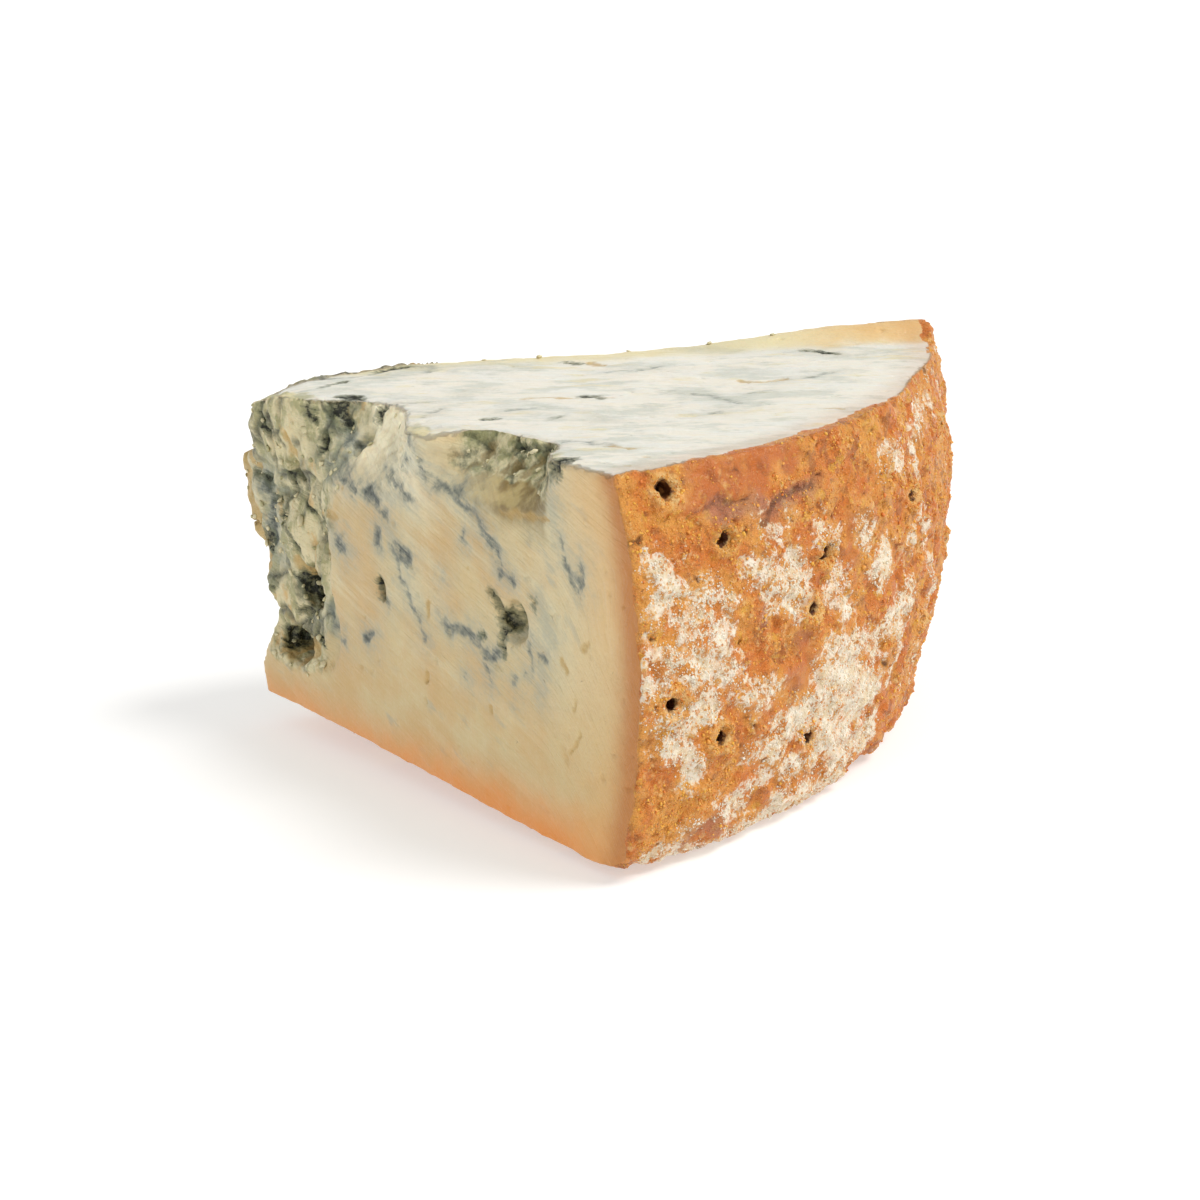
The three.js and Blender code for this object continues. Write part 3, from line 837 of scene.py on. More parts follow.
class Value:
    """What a node gives: a number, place or colour that varies over the surface.

    Adding to a number, taking from it and multiplying it add nodes to its material.
    """

    def __init__(self, shade, socket):
        self.shade = shade
        self.socket = socket

    def __add__(self, other):
        return self.shade.math("ADD", self, other)

    def __sub__(self, other):
        return self.shade.math("SUBTRACT", self, other)

    def __rsub__(self, other):
        return self.shade.math("SUBTRACT", other, self)

    def __mul__(self, other):
        return self.shade.math("MULTIPLY", self, other)


class Shade:
    """One material, with short ways to add nodes to it. Sizes are in millimetres."""

    def __init__(self, name):
        self.material = bpy.data.materials.new(name)
        self.material.use_nodes = True
        self.nodes = self.material.node_tree.nodes
        self.surface = self.nodes["Principled BSDF"]
        place = Value(self, self.nodes.new("ShaderNodeTexCoord").outputs["Object"])
        self.place = self.scaled(place, (1 / MM, 1 / MM, 1 / MM))

    def feed(self, socket, value):
        if isinstance(value, Value):
            self.material.node_tree.links.new(value.socket, socket)
        else:
            socket.default_value = value

    def scaled(self, place, scale):
        """A place times one number for each direction."""
        node = self.nodes.new("ShaderNodeVectorMath")
        node.operation = "MULTIPLY"
        self.feed(node.inputs[0], place)
        self.feed(node.inputs[1], scale)
        return Value(self, node.outputs["Vector"])

    def field(self, name, kind="Fac"):
        """A field of the skin that is stored in its mesh."""
        node = self.nodes.new("ShaderNodeAttribute")
        node.attribute_name = name
        return Value(self, node.outputs[kind])

    def flow(self):
        """Places along and across the knife's marks."""
        return self.field("flow", "Vector")

    def math(self, operation, a, b):
        node = self.nodes.new("ShaderNodeMath")
        node.operation = operation
        self.feed(node.inputs[0], a)
        self.feed(node.inputs[1], b)
        return Value(self, node.outputs[0])

    def ramp(self, value, start, end, low=0.0, high=1.0):
        """low before start, high after end, smooth between; start may be the larger."""
        node = self.nodes.new("ShaderNodeMapRange")
        node.interpolation_type = "SMOOTHSTEP"
        ends = (start, end, low, high) if start < end else (end, start, high, low)
        self.feed(node.inputs["Value"], value)
        for socket, number in zip(("From Min", "From Max", "To Min", "To Max"), ends):
            node.inputs[socket].default_value = number
        return Value(self, node.outputs["Result"])

    def mix(self, share, a, b):
        """Colour a turning to colour b as the share goes from 0 to 1."""
        node = self.nodes.new("ShaderNodeMix")
        node.data_type = "RGBA"
        self.feed(node.inputs[0], share)
        self.feed(node.inputs[6], a)
        self.feed(node.inputs[7], b)
        return Value(self, node.outputs[2])

    def noise(self, size, detail=2.0, rough=0.5, place=None):
        """Noise from 0 to 1 with lumps about `size` across, or stretched by a size for each direction."""
        node = self.nodes.new("ShaderNodeTexNoise")
        place = place or self.place
        if isinstance(size, tuple):
            place = self.scaled(place, tuple(1 / s for s in size))
            size = 1.0
        self.feed(node.inputs["Vector"], place)
        node.inputs["Scale"].default_value = 1 / size
        node.inputs["Detail"].default_value = detail
        node.inputs["Roughness"].default_value = rough
        return Value(self, node.outputs[0])

    def wobble(self, amount, size, detail=2.0, rough=0.5):
        """Noise about 0 that spans about `amount`."""
        return (self.noise(size, detail, rough) - 0.5) * amount

    def grains(self, size):
        """Grains about `size` across: the distance from the nearest middle, and a number for each grain."""
        node = self.nodes.new("ShaderNodeTexVoronoi")
        self.feed(node.inputs["Vector"], self.place)
        node.inputs["Scale"].default_value = 1 / size
        return Value(self, node.outputs["Distance"]), Value(self, node.outputs["Color"])

    def bump(self, height, depth):
        """A bump of a height map whose 0 to 1 is `depth` mm."""
        node = self.nodes.new("ShaderNodeBump")
        node.inputs["Strength"].default_value = 1.0
        node.inputs["Distance"].default_value = depth * MM
        self.feed(node.inputs["Height"], height)
        return Value(self, node.outputs["Normal"])

    def finish(self, colour, roughness, bump, inward, depth):
        """The material with its look; the share `inward` of the light spreads about `depth` mm below it."""
        inputs = self.surface.inputs
        self.feed(inputs["Base Color"], colour)
        self.feed(inputs["Roughness"], roughness)
        self.feed(inputs["Normal"], bump)
        inputs["Subsurface Weight"].default_value = inward
        inputs["Subsurface Radius"].default_value = LIGHT_REACH
        inputs["Subsurface Scale"].default_value = depth * MM
        return self.material


# screen colours, as the real thing shows them in soft light; some also carry painted shade, sheen or glow,
# as noted at each
CREAM = srgb(208, 188, 140)
CREAM_TAN = srgb(206, 174, 120)
CREAM_PALE = srgb(222, 211, 172)
# whites of the top: partly its smeared paste, partly painted sheen
CREAM_WHITE_AND_SHEEN = srgb(232, 226, 210)
COOL_WHITE_AND_SHEEN = srgb(227, 226, 216)
HAZE_PALE = srgb(201, 203, 190)
REAR_LIP = srgb(224, 210, 160)
RIND_LIP = srgb(220, 176, 112)
NEAR_RIND = srgb(190, 126, 64)
# orange at the foot of the cuts: partly tint, partly painted glow
BASE_TINT_AND_GLOW = srgb(238, 148, 62)
CURD_PALE = srgb(216, 205, 164)
CURD_GREEN = srgb(170, 166, 122)
CURD_GOLD = srgb(214, 176, 112)
# dark mould and painted shade in the gaps between curds
CURD_MOULD_AND_SHADE = srgb(86, 91, 72)
CHIP_GREEN = srgb(150, 148, 104)
HAZE = srgb(160, 165, 150)
VEIN = srgb(104, 112, 106)
VEIN_DARK = srgb(56, 64, 58)
MOULD_GREEN = srgb(98, 104, 74)
MOULD = srgb(30, 33, 19)
TAN = srgb(190, 156, 90)
TORN_TINT = srgb(250, 241, 208)
# painted olive shade between the notch's lumps
NOTCH_PAINTED_SHADE = srgb(78, 80, 46)
HOLLOW = srgb(122, 100, 48)
HOLLOW_PALE = srgb(178, 158, 104)
RIND_ORANGE = srgb(210, 118, 42)
RIND_RED = srgb(160, 82, 26)
RIND_GOLD = srgb(224, 154, 68)
RIND_YELLOW = srgb(226, 168, 62)
RIND_BROWN = srgb(152, 88, 42)
# painted shade: the rind's pits, creases, needle holes and the low places of its bump
RIND_PAINTED_SHADE = srgb(86, 46, 20)
RIND_PALE = srgb(240, 202, 134)
RIND_PURPLE = srgb(164, 116, 98)
BLOOM = srgb(230, 221, 202)
BLOOM_SHADE = srgb(217, 198, 164)
LIGHT_REACH = (1.0, 0.6, 0.35)  # how far red, green and blue light spread, in proportion


def knife_cut_colour(s):
    """The bare paste: cream, with paler and tan streaks along the knife's marks."""
    flow = s.flow()
    colour = s.mix(s.ramp(s.noise(9.0, 4), 0.38, 0.66), CREAM, CREAM_TAN)
    low = s.ramp(s.field("foot") + s.wobble(14.0, 9.0), 24.0, 12.0)
    smeared = s.ramp(s.noise((20.0, 3.2, 5.0), 3, 0.6, flow), 0.42, 0.66)
    smeared *= s.ramp(s.noise(12.0), 0.3, 0.6)
    colour = s.mix(smeared * (0.65 - low * 0.4), colour, CREAM_PALE)
    paler = s.ramp(s.field("edge") + s.wobble(20.0, 7.0, 3), 26.0, 12.0, 0, 0.55)
    colour = s.mix(paler * (1.0 - low), colour, CREAM_PALE)
    blotched = s.ramp(s.noise(6.0, 4, 0.6), 0.46, 0.66, 0, 0.6)
    colour = s.mix(blotched * low, colour, CREAM_TAN)
    misty = s.ramp(s.noise((7.0, 2.6, 4.0), 3, 0.6, flow), 0.54, 0.70)
    misty *= s.ramp(s.noise(11.0), 0.48, 0.62)
    colour = s.mix(misty * 0.5, colour, HAZE)
    scored = s.ramp(s.noise((5.0, 0.22, 2.0), 2, 0.6, flow), 0.58, 0.76)
    scored *= s.ramp(s.noise(6.0), 0.45, 0.65)
    colour = s.mix(scored * 0.35, colour, TAN)
    return s.mix(s.ramp(s.noise(0.8, 3, 0.7), 0.54, 0.74, 0, 0.4), colour, CREAM_TAN)


def curd_colour(s):
    """Crumbled curds: pale, greenish and golden lumps with dark mould and painted shade in the gaps between
    them.
    """
    colour = s.mix(s.ramp(s.noise((2.2, 2.2, 5.0), 3, 0.6), 0.44, 0.58), CURD_PALE, CURD_GREEN)
    colour = s.mix(s.ramp(s.noise((3.0, 3.0, 6.5), 3, 0.6), 0.55, 0.68, 0, 0.8), colour, CURD_GOLD)
    colour = s.mix(s.ramp(s.noise(1.4, 3, 0.7), 0.50, 0.66, 0, 0.7), colour, CREAM_PALE)
    gap = s.field("seam") + s.wobble(1.1, 1.5, 3, 0.7)
    grown = s.ramp(s.noise(4.5, 3), 0.40, 0.55)
    # every gap is darkened, more where mould has grown: partly mould, partly painted shade
    colour = s.mix(s.ramp(gap, 0.75, 0.05) * (grown * 0.70 + 0.15), colour, CURD_MOULD_AND_SHADE)
    return s.mix(s.ramp(gap, 0.15, -0.15) * grown, colour, MOULD)


def chipped_colour(s):
    """The notch: pale lumps, most of them green, with painted olive shade in the gaps between them, and tan
    hollows.
    """
    lump = s.mix(s.ramp(s.noise(2.6, 3, 0.6), 0.42, 0.60, 0.1, 1.0), CURD_PALE, CHIP_GREEN)
    raised = s.field("bulge") + s.wobble(1.2, 1.1, 3, 0.7)
    # painted shade: the low places between the lumps are olive-dark
    colour = s.mix(s.ramp(raised, 0.40, 1.00), NOTCH_PAINTED_SHADE, lump)
    return s.mix(s.ramp(s.noise(3.4, 3), 0.50, 0.62, 0, 0.7), colour, HOLLOW)


def grown_over(s, colour):
    """The colour with blue veins, grey haze, tan marks and black mould on it."""
    ragged = s.noise(1.1, 4, 0.7) - 0.5
    streaked = s.noise((5.0, 0.6, 1.5), 4, 0.65, s.flow()) - 0.5
    loose = ragged * 1.9 + streaked * 1.9
    faint = 1.0 - s.field("on_top") * 0.5
    vein = s.field("vein")
    haze = s.math("MINIMUM", s.field("smear"), vein - 0.6)
    colour = s.mix(s.ramp(haze + loose * 3.0, 5.0, 0.0, 0, 0.20) * faint, colour, HAZE)
    colour = s.mix(s.ramp(haze + loose * 2.2, 1.5, -1.0, 0, 0.5) * faint, colour, HAZE)
    vein = vein + loose + s.ramp(s.noise(3.0, 3), 0.50, 0.36, 0, 0.55)
    colour = s.mix(s.ramp(vein, 0.70, -0.35, 0, 0.75) * faint, colour, VEIN)
    colour = s.mix(s.ramp(vein, 0.0, -0.85, 0, 0.85) * faint, colour, VEIN_DARK)
    colour = s.mix(s.ramp(s.field("tan") + ragged * 0.9, 0.4, -0.2, 0, 0.7), colour, TAN)
    mould = s.field("mould") + loose * 1.3
    colour = s.mix(s.ramp(mould, 0.9, 0.05, 0, 0.7), colour, MOULD_GREEN)
    specks = s.ramp(s.noise(0.7, 3, 0.7), 0.60, 0.48, 0.45, 1.0)
    return s.mix(s.ramp(mould, 0.1, -0.45) * specks, colour, MOULD)


def top_colour_and_sheen(s):
    """The smooth top: white, partly its smeared paste and partly painted sheen; hazed along the knife's
    marks, yellow at its rim and tan at its far corner.
    """
    flow = s.flow()
    colour = s.mix(s.ramp(s.noise((12.0, 3.0, 3.0), 3, 0.6, flow), 0.40, 0.64), CREAM_WHITE_AND_SHEEN, COOL_WHITE_AND_SHEEN)
    hazed = s.ramp(s.noise((9.0, 5.0, 5.0), 4, 0.65, flow), 0.48, 0.62, 0, 0.85)
    colour = s.mix(hazed, colour, HAZE_PALE)
    marks = s.ramp(s.noise((5.0, 1.5, 3.0), 3, 0.7, flow), 0.58, 0.70, 0, 0.5)
    marks *= s.ramp(s.noise(9.0, 3), 0.46, 0.62)
    colour = s.mix(marks, colour, HAZE)
    warm = s.ramp(s.noise((10.0, 4.0, 3.0), 3, 0.6, flow), 0.42, 0.30, 0, 0.6)
    colour = s.mix(warm, colour, REAR_LIP)
    wander = s.wobble(9.0, 6.0, 4)
    at_rear = s.ramp(s.field("from_rear") + wander, 9.0, 2.0, 0, 0.85)
    colour = s.mix(at_rear, colour, REAR_LIP)
    at_rind = s.ramp(s.field("edge") + wander * 0.7, 22.0, 6.0)
    colour = s.mix(at_rear * at_rind, colour, RIND_LIP)
    lip = s.field("lip") + s.wobble(1.4, 2.2, 3, 0.6)
    lip_colour = s.mix(s.ramp(s.noise(2.6, 4), 0.4, 0.6), REAR_LIP, CURD_GREEN)
    return s.mix(s.ramp(lip, 0.25, 0.85, 0, 0.9), colour, lip_colour)


def near_crust(s, colour, top):
    """The paste's colour, warmer near its rind and near its base, where the orange is partly tint and
    partly painted glow, and golden under the rind's top corner.
    """
    side = 1.0 - top
    wander = s.wobble(3.0, 3.0, 3)
    # partly painted glow: orange at the foot of the cuts
    base_tint_and_glow = s.ramp(s.field("foot") + wander, 9.5, 0.5, 0, 0.95)
    colour = s.mix(base_tint_and_glow * side, colour, BASE_TINT_AND_GLOW)
    corner = s.ramp(s.field("edge") + wander, 17.0, 3.0)
    corner *= s.ramp(s.field("foot"), 20.0, 40.0, 0.45, 0.90)
    colour = s.mix(corner * side, colour, RIND_LIP)
    gilded = s.ramp(s.field("edge") + wander, 9.0, 2.0)
    gilded *= s.ramp(s.field("foot"), 38.0, 45.0, 0, 0.7)
    colour = s.mix(gilded * side, colour, RIND_GOLD)
    near_rind = s.ramp(s.field("edge") + wander * 0.5, 7.5, 1.2)
    return s.mix(near_rind * near_rind * (1.0 - top * 0.75), colour, NEAR_RIND)


def paste_look(s):
    """Colour, roughness and bump height of the cheese inside the rind."""
    top = s.field("on_top")
    # the top is whiter than the cuts: partly its smeared paste, partly painted sheen
    colour = s.mix(top * 0.95, knife_cut_colour(s), top_colour_and_sheen(s))
    mottled = s.ramp(s.noise(1.8, 3, 0.6), 0.36, 0.58, 0.6, 1.0)
    colour = s.mix(s.field("torn") * mottled, colour, TORN_TINT)
    colour = near_crust(s, colour, top)
    ragged = s.wobble(0.9, 2.0, 4, 0.65)
    crumbled = s.ramp(s.field("crumb") + ragged, 0.25, 0.75, 0, 0.95)
    chipped = s.ramp(s.field("notch") + ragged, 0.35, 0.65)
    colour = s.mix(crumbled, colour, curd_colour(s))
    tan_part = s.mix(s.ramp(s.noise(3.4, 3), 0.42, 0.60), HOLLOW, HOLLOW_PALE)
    colour = s.mix(s.field("hollow"), colour, tan_part)
    colour = s.mix(chipped, colour, chipped_colour(s))
    colour = grown_over(s, colour)
    fine = s.noise(0.45)
    streaked = s.noise((6.0, 0.35, 2.0), 2, 0.5, s.flow())
    broken = s.math("MAXIMUM", crumbled, chipped)
    roughness = s.ramp(top * -0.25 + fine, 0.1, 0.9, 0.34, 0.62)
    height = (streaked - 0.5) * (top * 0.05 + 0.13) + (fine - 0.5) * (broken * 0.12 + 0.09)
    return colour, roughness, height


def crust_colour(s, wax, small, speck):
    """The bare crust: orange, gold, brown and yellow, red where it is waxy, with pale and dark grains; the
    pale on the raised grain is partly painted highlight and the dark in the bump's low places is painted
    shade.
    """
    rough_part = 1.0 - wax * 0.45
    colour = s.mix(s.ramp(s.noise(5.0, 3, 0.6), 0.40, 0.64), RIND_ORANGE, RIND_GOLD)
    colour = s.mix(s.ramp(s.noise(2.4, 4, 0.65), 0.52, 0.62, 0, 0.6), colour, RIND_BROWN)
    colour = s.mix(s.ramp(s.noise(1.9, 3, 0.6), 0.58, 0.66, 0, 0.7), colour, RIND_YELLOW)
    colour = s.mix(wax * 0.55, colour, RIND_RED)
    colour = s.mix(s.field("ochre") * 0.7, colour, RIND_GOLD)
    # partly painted highlight: raised grains and the bump's high places are painted pale
    lit = s.ramp(s.field("grain") * 0.4 + small, 0.68, 0.90, 0, 0.6)
    colour = s.mix(lit * rough_part, colour, RIND_PALE)
    # painted shade: the bump's low places are painted brown and dark
    colour = s.mix(s.ramp(small, 0.44, 0.32, 0, 0.6) * rough_part, colour, RIND_BROWN)
    colour = s.mix(s.ramp(small, 0.34, 0.26, 0, 0.8) * rough_part, colour, RIND_PAINTED_SHADE)
    return s.mix(s.ramp(speck, 0.62, 0.72, 0, 0.5) * rough_part, colour, RIND_PALE)


def rind_look(s):
    """Colour, roughness and bump height of the rind."""
    wax = s.field("wax")
    small = s.noise(0.9, 4, 0.75)
    speck = s.noise(0.28, 2, 0.6)
    colour = crust_colour(s, wax, small, speck)
    collar = s.ramp(s.field("hole") + small * 1.6, 2.3, 1.2, 0, 0.8)
    colour = s.mix(collar, colour, s.mix(s.ramp(small, 0.42, 0.56), RIND_GOLD, RIND_PALE))
    colour = s.mix(s.field("purple") * 0.6, colour, RIND_PURPLE)
    colour = s.mix(s.ramp(s.field("white"), 1.5, -1.5, 0, 0.40), colour, RIND_GOLD)
    bloom, powder = bloom_look(s)
    bloom *= 1.0 - collar
    colour = s.mix(bloom, colour, powder)
    # painted shade in the rind's pits, less under white mould
    colour = s.mix(s.field("pit") * (0.8 - bloom * 0.7), colour, RIND_PAINTED_SHADE)
    # painted shade along the rind's creases
    colour = s.mix(s.ramp(s.field("crease") + small, 0.75, 0.35, 0, 0.6), colour, RIND_PAINTED_SHADE)
    roughness = s.ramp(wax, 0, 1, 0.34, 0.28) + bloom * 0.5
    smoothed = s.math("MAXIMUM", wax * 0.6, bloom * 0.7)
    height = ((small - 0.5) * 0.8 + (speck - 0.5) * 0.25) * (1.0 - smoothed)
    return colour, roughness, height


def bloom_look(s):
    """How much white mould covers the rind, lacy towards its rim, and the mould's colour."""
    depth = s.field("white") + (s.wobble(9.0, 3.4, 3, 0.55) + s.wobble(9.0, 1.1, 4, 0.8))
    thick = s.ramp(depth + s.wobble(14.0, 2.6, 4, 0.65), 1.5, -3.0, 0.70, 0.97)
    bloom = s.ramp(depth, 0.5, -0.5) * thick
    islands = s.ramp(s.noise(2.3, 4, 0.6), 0.62, 0.59)
    wide_open = lace(s, 1.3, s.ramp(depth, -4.0, 0.5, 0.08, 0.52), 0.45, 0.75)
    fine_open = lace(s, 0.45, s.ramp(depth, -5.0, 0.5, 0.14, 0.50), 0.25, 0.65)
    closed = 1.0 - s.math("MAXIMUM", wide_open, fine_open) * 0.85
    powder = s.mix(s.ramp(s.noise(1.4, 3, 0.7), 0.42, 0.62), BLOOM, BLOOM_SHADE)
    return bloom * islands * closed, powder


def lace(s, size, radius, fewest, most):
    """Round openings, one to a grain of `size` across, in grains whose number passes fewest to most."""
    far_off, tone = s.grains(size)
    opening = s.ramp(far_off - radius + s.wobble(0.5, 0.4 * size, 0), 0.10, -0.10)
    return opening * s.ramp(tone, fewest, most)


def cheese_material():
    s = Shade("cheese")
    paste, paste_rough, paste_height = paste_look(s)
    rind, rind_rough, rind_height = rind_look(s)
    is_rind = s.ramp(s.field("rindness") + s.wobble(1.2, 0.9, 4, 0.7), -0.15, 0.15)
    # painted shade inside the needle holes
    hole_shade = s.ramp(s.field("hole") + s.wobble(1.6, 1.0, 3, 0.6), 0.20, -0.20)
    hole_shade *= s.ramp(s.field("edge"), 9.0, 7.5)
    colour = s.mix(hole_shade, s.mix(is_rind, paste, rind), RIND_PAINTED_SHADE)
    roughness = paste_rough + is_rind * (rind_rough - paste_rough)
    height = paste_height + is_rind * (rind_height - paste_height)
    s.surface.inputs["IOR"].default_value = 1.45
    return s.finish(colour, roughness, s.bump(height, 1.0), inward=0.12, depth=1.5)


# ============ floor, light and camera
CAMERA_PLACE = np.array([300.5, -139.1, 95.6])
CAMERA_YAW = math.radians(-55.83)
CAMERA_PITCH = math.radians(14.41)
CAMERA_ROLL = math.radians(-2.93)
CAMERA_LENS = 72.0
SENSOR = 36.0
FLOOR_COLOUR = srgb(205, 204, 202)
FLOOR_GLOW_COLOUR = srgb(250, 250, 249)
FLOOR_FLAT = 1.2  # metres of flat floor round the wedge; beyond it the floor sweeps up
FLOOR_REACH = 4.0
FLOOR_RISE = 0.8
FLOOR_RINGS = 24
FLOOR_SPOKES = 64
FLOOR_GLOW = 0.48
SKY_STRENGTH = 0.58
KEY_FROM = (0.50, 0.35, 0.79)
KEY_STRENGTH = 2.3
KEY_ANGLE = math.radians(24)


def in_row(place):
    """A place in the drum's frame as metres in the row's frame."""
    return Vector((np.asarray(place, float) + DRUM_AXIS) * MM)


def add_camera():
    data = bpy.data.cameras.new("camera")
    data.lens = CAMERA_LENS
    data.sensor_width = SENSOR
    data.clip_start = 0.01
    data.clip_end = 50
    camera = new_object("camera", data)
    forward = Vector(
        (
            math.sin(CAMERA_YAW) * math.cos(CAMERA_PITCH),
            math.cos(CAMERA_YAW) * math.cos(CAMERA_PITCH),
            -math.sin(CAMERA_PITCH),
        )
    )
    level = Vector((math.cos(CAMERA_YAW), -math.sin(CAMERA_YAW), 0))
    up = level.cross(forward)
    right = level * math.cos(CAMERA_ROLL) + up * math.sin(CAMERA_ROLL)
    up = up * math.cos(CAMERA_ROLL) - level * math.sin(CAMERA_ROLL)
    turn = Matrix((right, up, -forward)).transposed()
    camera.matrix_world = Matrix.Translation(in_row(CAMERA_PLACE)) @ turn.to_4x4()
    bpy.context.scene.camera = camera


def add_floor():
    """A round pale floor whose rim sweeps up, so that no view looks past it."""
    rings = [FLOOR_FLAT + (FLOOR_REACH - FLOOR_FLAT) * k / FLOOR_RINGS for k in range(FLOOR_RINGS + 1)]
    verts = [(0, 0, 0)]
    for ring in rings:
        height = FLOOR_RISE * ((ring - FLOOR_FLAT) / (FLOOR_REACH - FLOOR_FLAT)) ** 2
        for k in range(FLOOR_SPOKES):
            turn = 2 * math.pi * k / FLOOR_SPOKES
            verts.append((ring * math.cos(turn), ring * math.sin(turn), height))
    faces = [(0, 1 + k, 1 + (k + 1) % FLOOR_SPOKES) for k in range(FLOOR_SPOKES)]
    for row in range(FLOOR_RINGS):
        inner = 1 + row * FLOOR_SPOKES
        for k in range(FLOOR_SPOKES):
            a, b = inner + k, inner + (k + 1) % FLOOR_SPOKES
            faces.append((a, a + FLOOR_SPOKES, b + FLOOR_SPOKES, b))
    mesh = bpy.data.meshes.new("floor")
    mesh.from_pydata(verts, [], faces)
    mesh.shade_smooth()
    floor = new_object("floor", mesh)
    s = Shade("floor")
    s.surface.inputs["Base Color"].default_value = FLOOR_COLOUR
    s.surface.inputs["Roughness"].default_value = 0.7
    s.surface.inputs["Emission Color"].default_value = FLOOR_GLOW_COLOUR
    s.surface.inputs["Emission Strength"].default_value = FLOOR_GLOW
    mesh.materials.append(s.material)


def add_lights():
    key = bpy.data.lights.new("key", "SUN")
    key.energy = KEY_STRENGTH
    key.angle = KEY_ANGLE
    lamp = new_object("key", key)
    lamp.rotation_euler = Vector(KEY_FROM).to_track_quat("Z", "Y").to_euler()
    world = bpy.data.worlds.new("studio")
    world.use_nodes = True
    sky = world.node_tree.nodes["Background"]
    sky.inputs["Color"].default_value = (1.0, 1.0, 1.0, 1.0)
    sky.inputs["Strength"].default_value = SKY_STRENGTH
    bpy.context.scene.world = world
    bpy.context.scene.view_settings.view_transform = "Standard"


def hand_over(piece):
    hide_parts(NODE)
    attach(piece, BODY)


# ============ small lumps lying on the skin
class Lumps:
    """Small uneven closed lumps, half sunk in a body, joined as one piece."""

    def __init__(self, name, body, seed):
        self.name = name
        self.body = body
        self.dice = np.random.default_rng(seed)
        mesh = body.data
        mesh.calc_loop_triangles()
        self.corners = read(mesh.loop_triangles, "vertices", 3, np.int32)
        self.slopes = read(mesh.loop_triangles, "normal", 3)
        self.sizes = read(mesh.loop_triangles, "area", 1)[:, 0]
        self.points = read(mesh.vertices, "co", 3) / MM

    def field(self, name):
        """A field of the skin as one number for each of its faces."""
        values = read(self.body.data.attributes[name].data, "value", 1)[:, 0]
        return values[self.corners].mean(axis=1)

    def grow(self, likely, count, radius, spread, squash, detail):
        """Puts down `count` lumps where `likely` is high.

        Their radii in mm vary round `radius` by `spread`, and they are pressed to the share `squash` of
        their height. `detail` is how finely each is made.
        """
        dice = self.dice
        chance = likely * self.sizes
        face = dice.choice(len(chance), size=count, p=chance / chance.sum())
        share = dice.dirichlet((1, 1, 1), count)
        middle = np.einsum("ij,ijk->ik", share, self.points[self.corners[face]])
        up = self.slopes[face]
        size = radius * np.exp(spread * dice.normal(size=count))
        ball, faces = ball_mesh(detail)
        form = ball[None] * dice.uniform(0.65, 1.35, (count, len(ball), 1)) * size[:, None, None]
        form *= dice.uniform(0.7, 1.3, (count, 1, 3))
        turn = random_turns(dice, count)
        form = np.einsum("nij,nkj->nki", turn, form)
        height = np.einsum("nkj,nj->nk", form, up)
        form -= (height * (1 - squash))[:, :, None] * up[:, None]
        places = middle[:, None] + form + (0.25 * size[:, None] * up)[:, None]
        steps = np.arange(count)[:, None, None] * len(ball)
        mesh = bpy.data.meshes.new(self.name)
        corners = (faces[None] + steps).reshape(-1, 3)
        mesh.from_pydata((places.reshape(-1, 3) * MM).tolist(), [], corners.tolist())
        tone = mesh.attributes.new("tone", "FLOAT", "POINT")
        tone.data.foreach_set("value", np.repeat(dice.random(count), len(ball)))
        mesh.shade_smooth()
        return new_object(self.name, mesh)


def ball_mesh(detail):
    """Points and faces of a round ball of triangles."""
    ball = bmesh.new()
    bmesh.ops.create_icosphere(ball, subdivisions=detail, radius=1)
    points = np.array([v.co for v in ball.verts])
    faces = np.array([[v.index for v in face.verts] for face in ball.faces])
    ball.free()
    return points, faces


def random_turns(dice, count):
    """A random rotation matrix for each lump."""
    turn, _ = np.linalg.qr(dice.normal(size=(count, 3, 3)))
    turn[:, :, 0] *= np.linalg.det(turn)[:, None]
    return turn


def lump_material(name, dark, middle, light, roughness):
    """Lumps of three tones, each lump with its own, and a little mottling."""
    s = Shade(name)
    tone = s.field("tone") + s.wobble(0.6, 0.5, 3)
    colour = s.mix(s.ramp(tone, 0.05, 0.45), dark, middle)
    colour = s.mix(s.ramp(tone, 0.50, 0.95), colour, light)
    return s.finish(colour, roughness, s.bump(s.noise(0.2), 0.08), inward=0.1, depth=1.0)


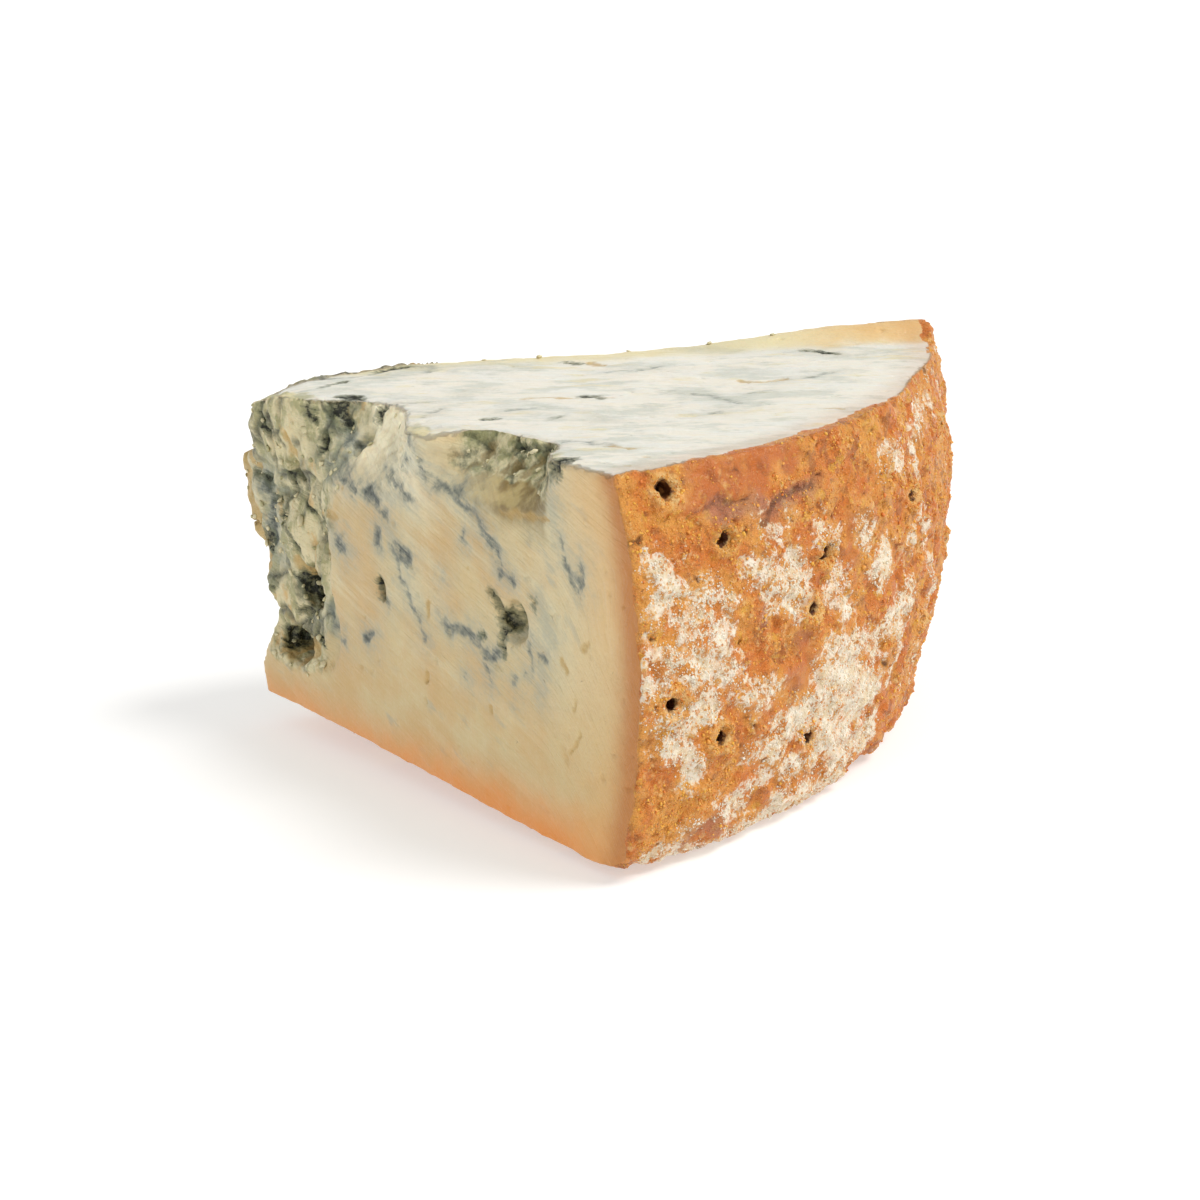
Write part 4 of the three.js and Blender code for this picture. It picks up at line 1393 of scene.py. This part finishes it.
def add_rind_grains(body):
    """The rind's crust of fine grains, thickest round the needle holes and on the ochre patches."""
    lumps = Lumps("rind_grains", body, 21)
    rind = ramp(lumps.field("rindness"), 0.3, 0.8) * ramp(lumps.field("foot"), 0.3, 1.5)
    hole = lumps.field("hole")
    collar = np.exp(-(((hole - 0.9) / 0.8) ** 2))
    bare = ramp(hole, 0.0, 0.2) * (1 - 0.9 * lumps.field("wax")) * ramp(lumps.field("white"), -0.5, 1.5)
    grainy = ramp(lumps.field("grain"), 0.15, 0.7)
    likely = rind * (bare * (0.2 + grainy + lumps.field("ochre")) + collar * ramp(hole, 0.0, 0.2))
    piece = lumps.grow(likely, count=7000, radius=0.11, spread=0.35, squash=0.7, detail=1)
    piece.data.materials.append(lump_material("rind_grain", RIND_ORANGE, RIND_GOLD, RIND_YELLOW, 0.4))
    return piece


def add_rind_bloom(body):
    """Powdery tufts of white mould on its patches."""
    lumps = Lumps("rind_bloom", body, 22)
    rind = ramp(lumps.field("rindness"), 0.3, 0.8) * ramp(lumps.field("foot"), 0.3, 1.5)
    likely = rind * (1 - ramp(lumps.field("white"), -1.0, 0.8)) * ramp(lumps.field("hole"), 0.0, 0.3)
    piece = lumps.grow(likely, count=9500, radius=0.08, spread=0.30, squash=0.7, detail=1)
    piece.data.materials.append(lump_material("rind_bloom", BLOOM_SHADE, BLOOM, BLOOM, 0.9))
    return piece


def add_curd_crumbs(body):
    """Crumbs of curd on the broken point, in the notch, on the torn part and at the top's rear edge."""
    lumps = Lumps("curd_crumbs", body, 23)
    broken = np.maximum(lumps.field("crumb"), lumps.field("notch"))
    at_rear = ramp(lumps.field("from_rear"), 1.2, 0.3) * ramp(lumps.field("edge"), 5, 12)
    at_rear *= lumps.field("on_top")
    likely = ramp(broken, 0.2, 0.8) + 0.3 * lumps.field("torn") + 0.6 * at_rear
    piece = lumps.grow(likely, count=260, radius=0.26, spread=0.40, squash=0.5, detail=2)
    piece.data.materials.append(lump_material("curd_crumb", CURD_GREEN, CURD_PALE, CREAM_PALE, 0.5))
    return piece


def add_scattered(body):
    for add in (add_rind_grains, add_rind_bloom, add_curd_crumbs):
        hand_over(add(body))


def main():
    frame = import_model()
    add_camera()
    add_floor()
    add_lights()
    skin = fine_skin(frame["nodes"][NODE])
    describe(skin)
    raise_relief(skin)
    store_fields(skin)
    thin(skin)
    body = skin.thing
    body.data.materials.clear()
    body.data.materials.append(cheese_material())
    hand_over(body)
    add_scattered(body)


main()
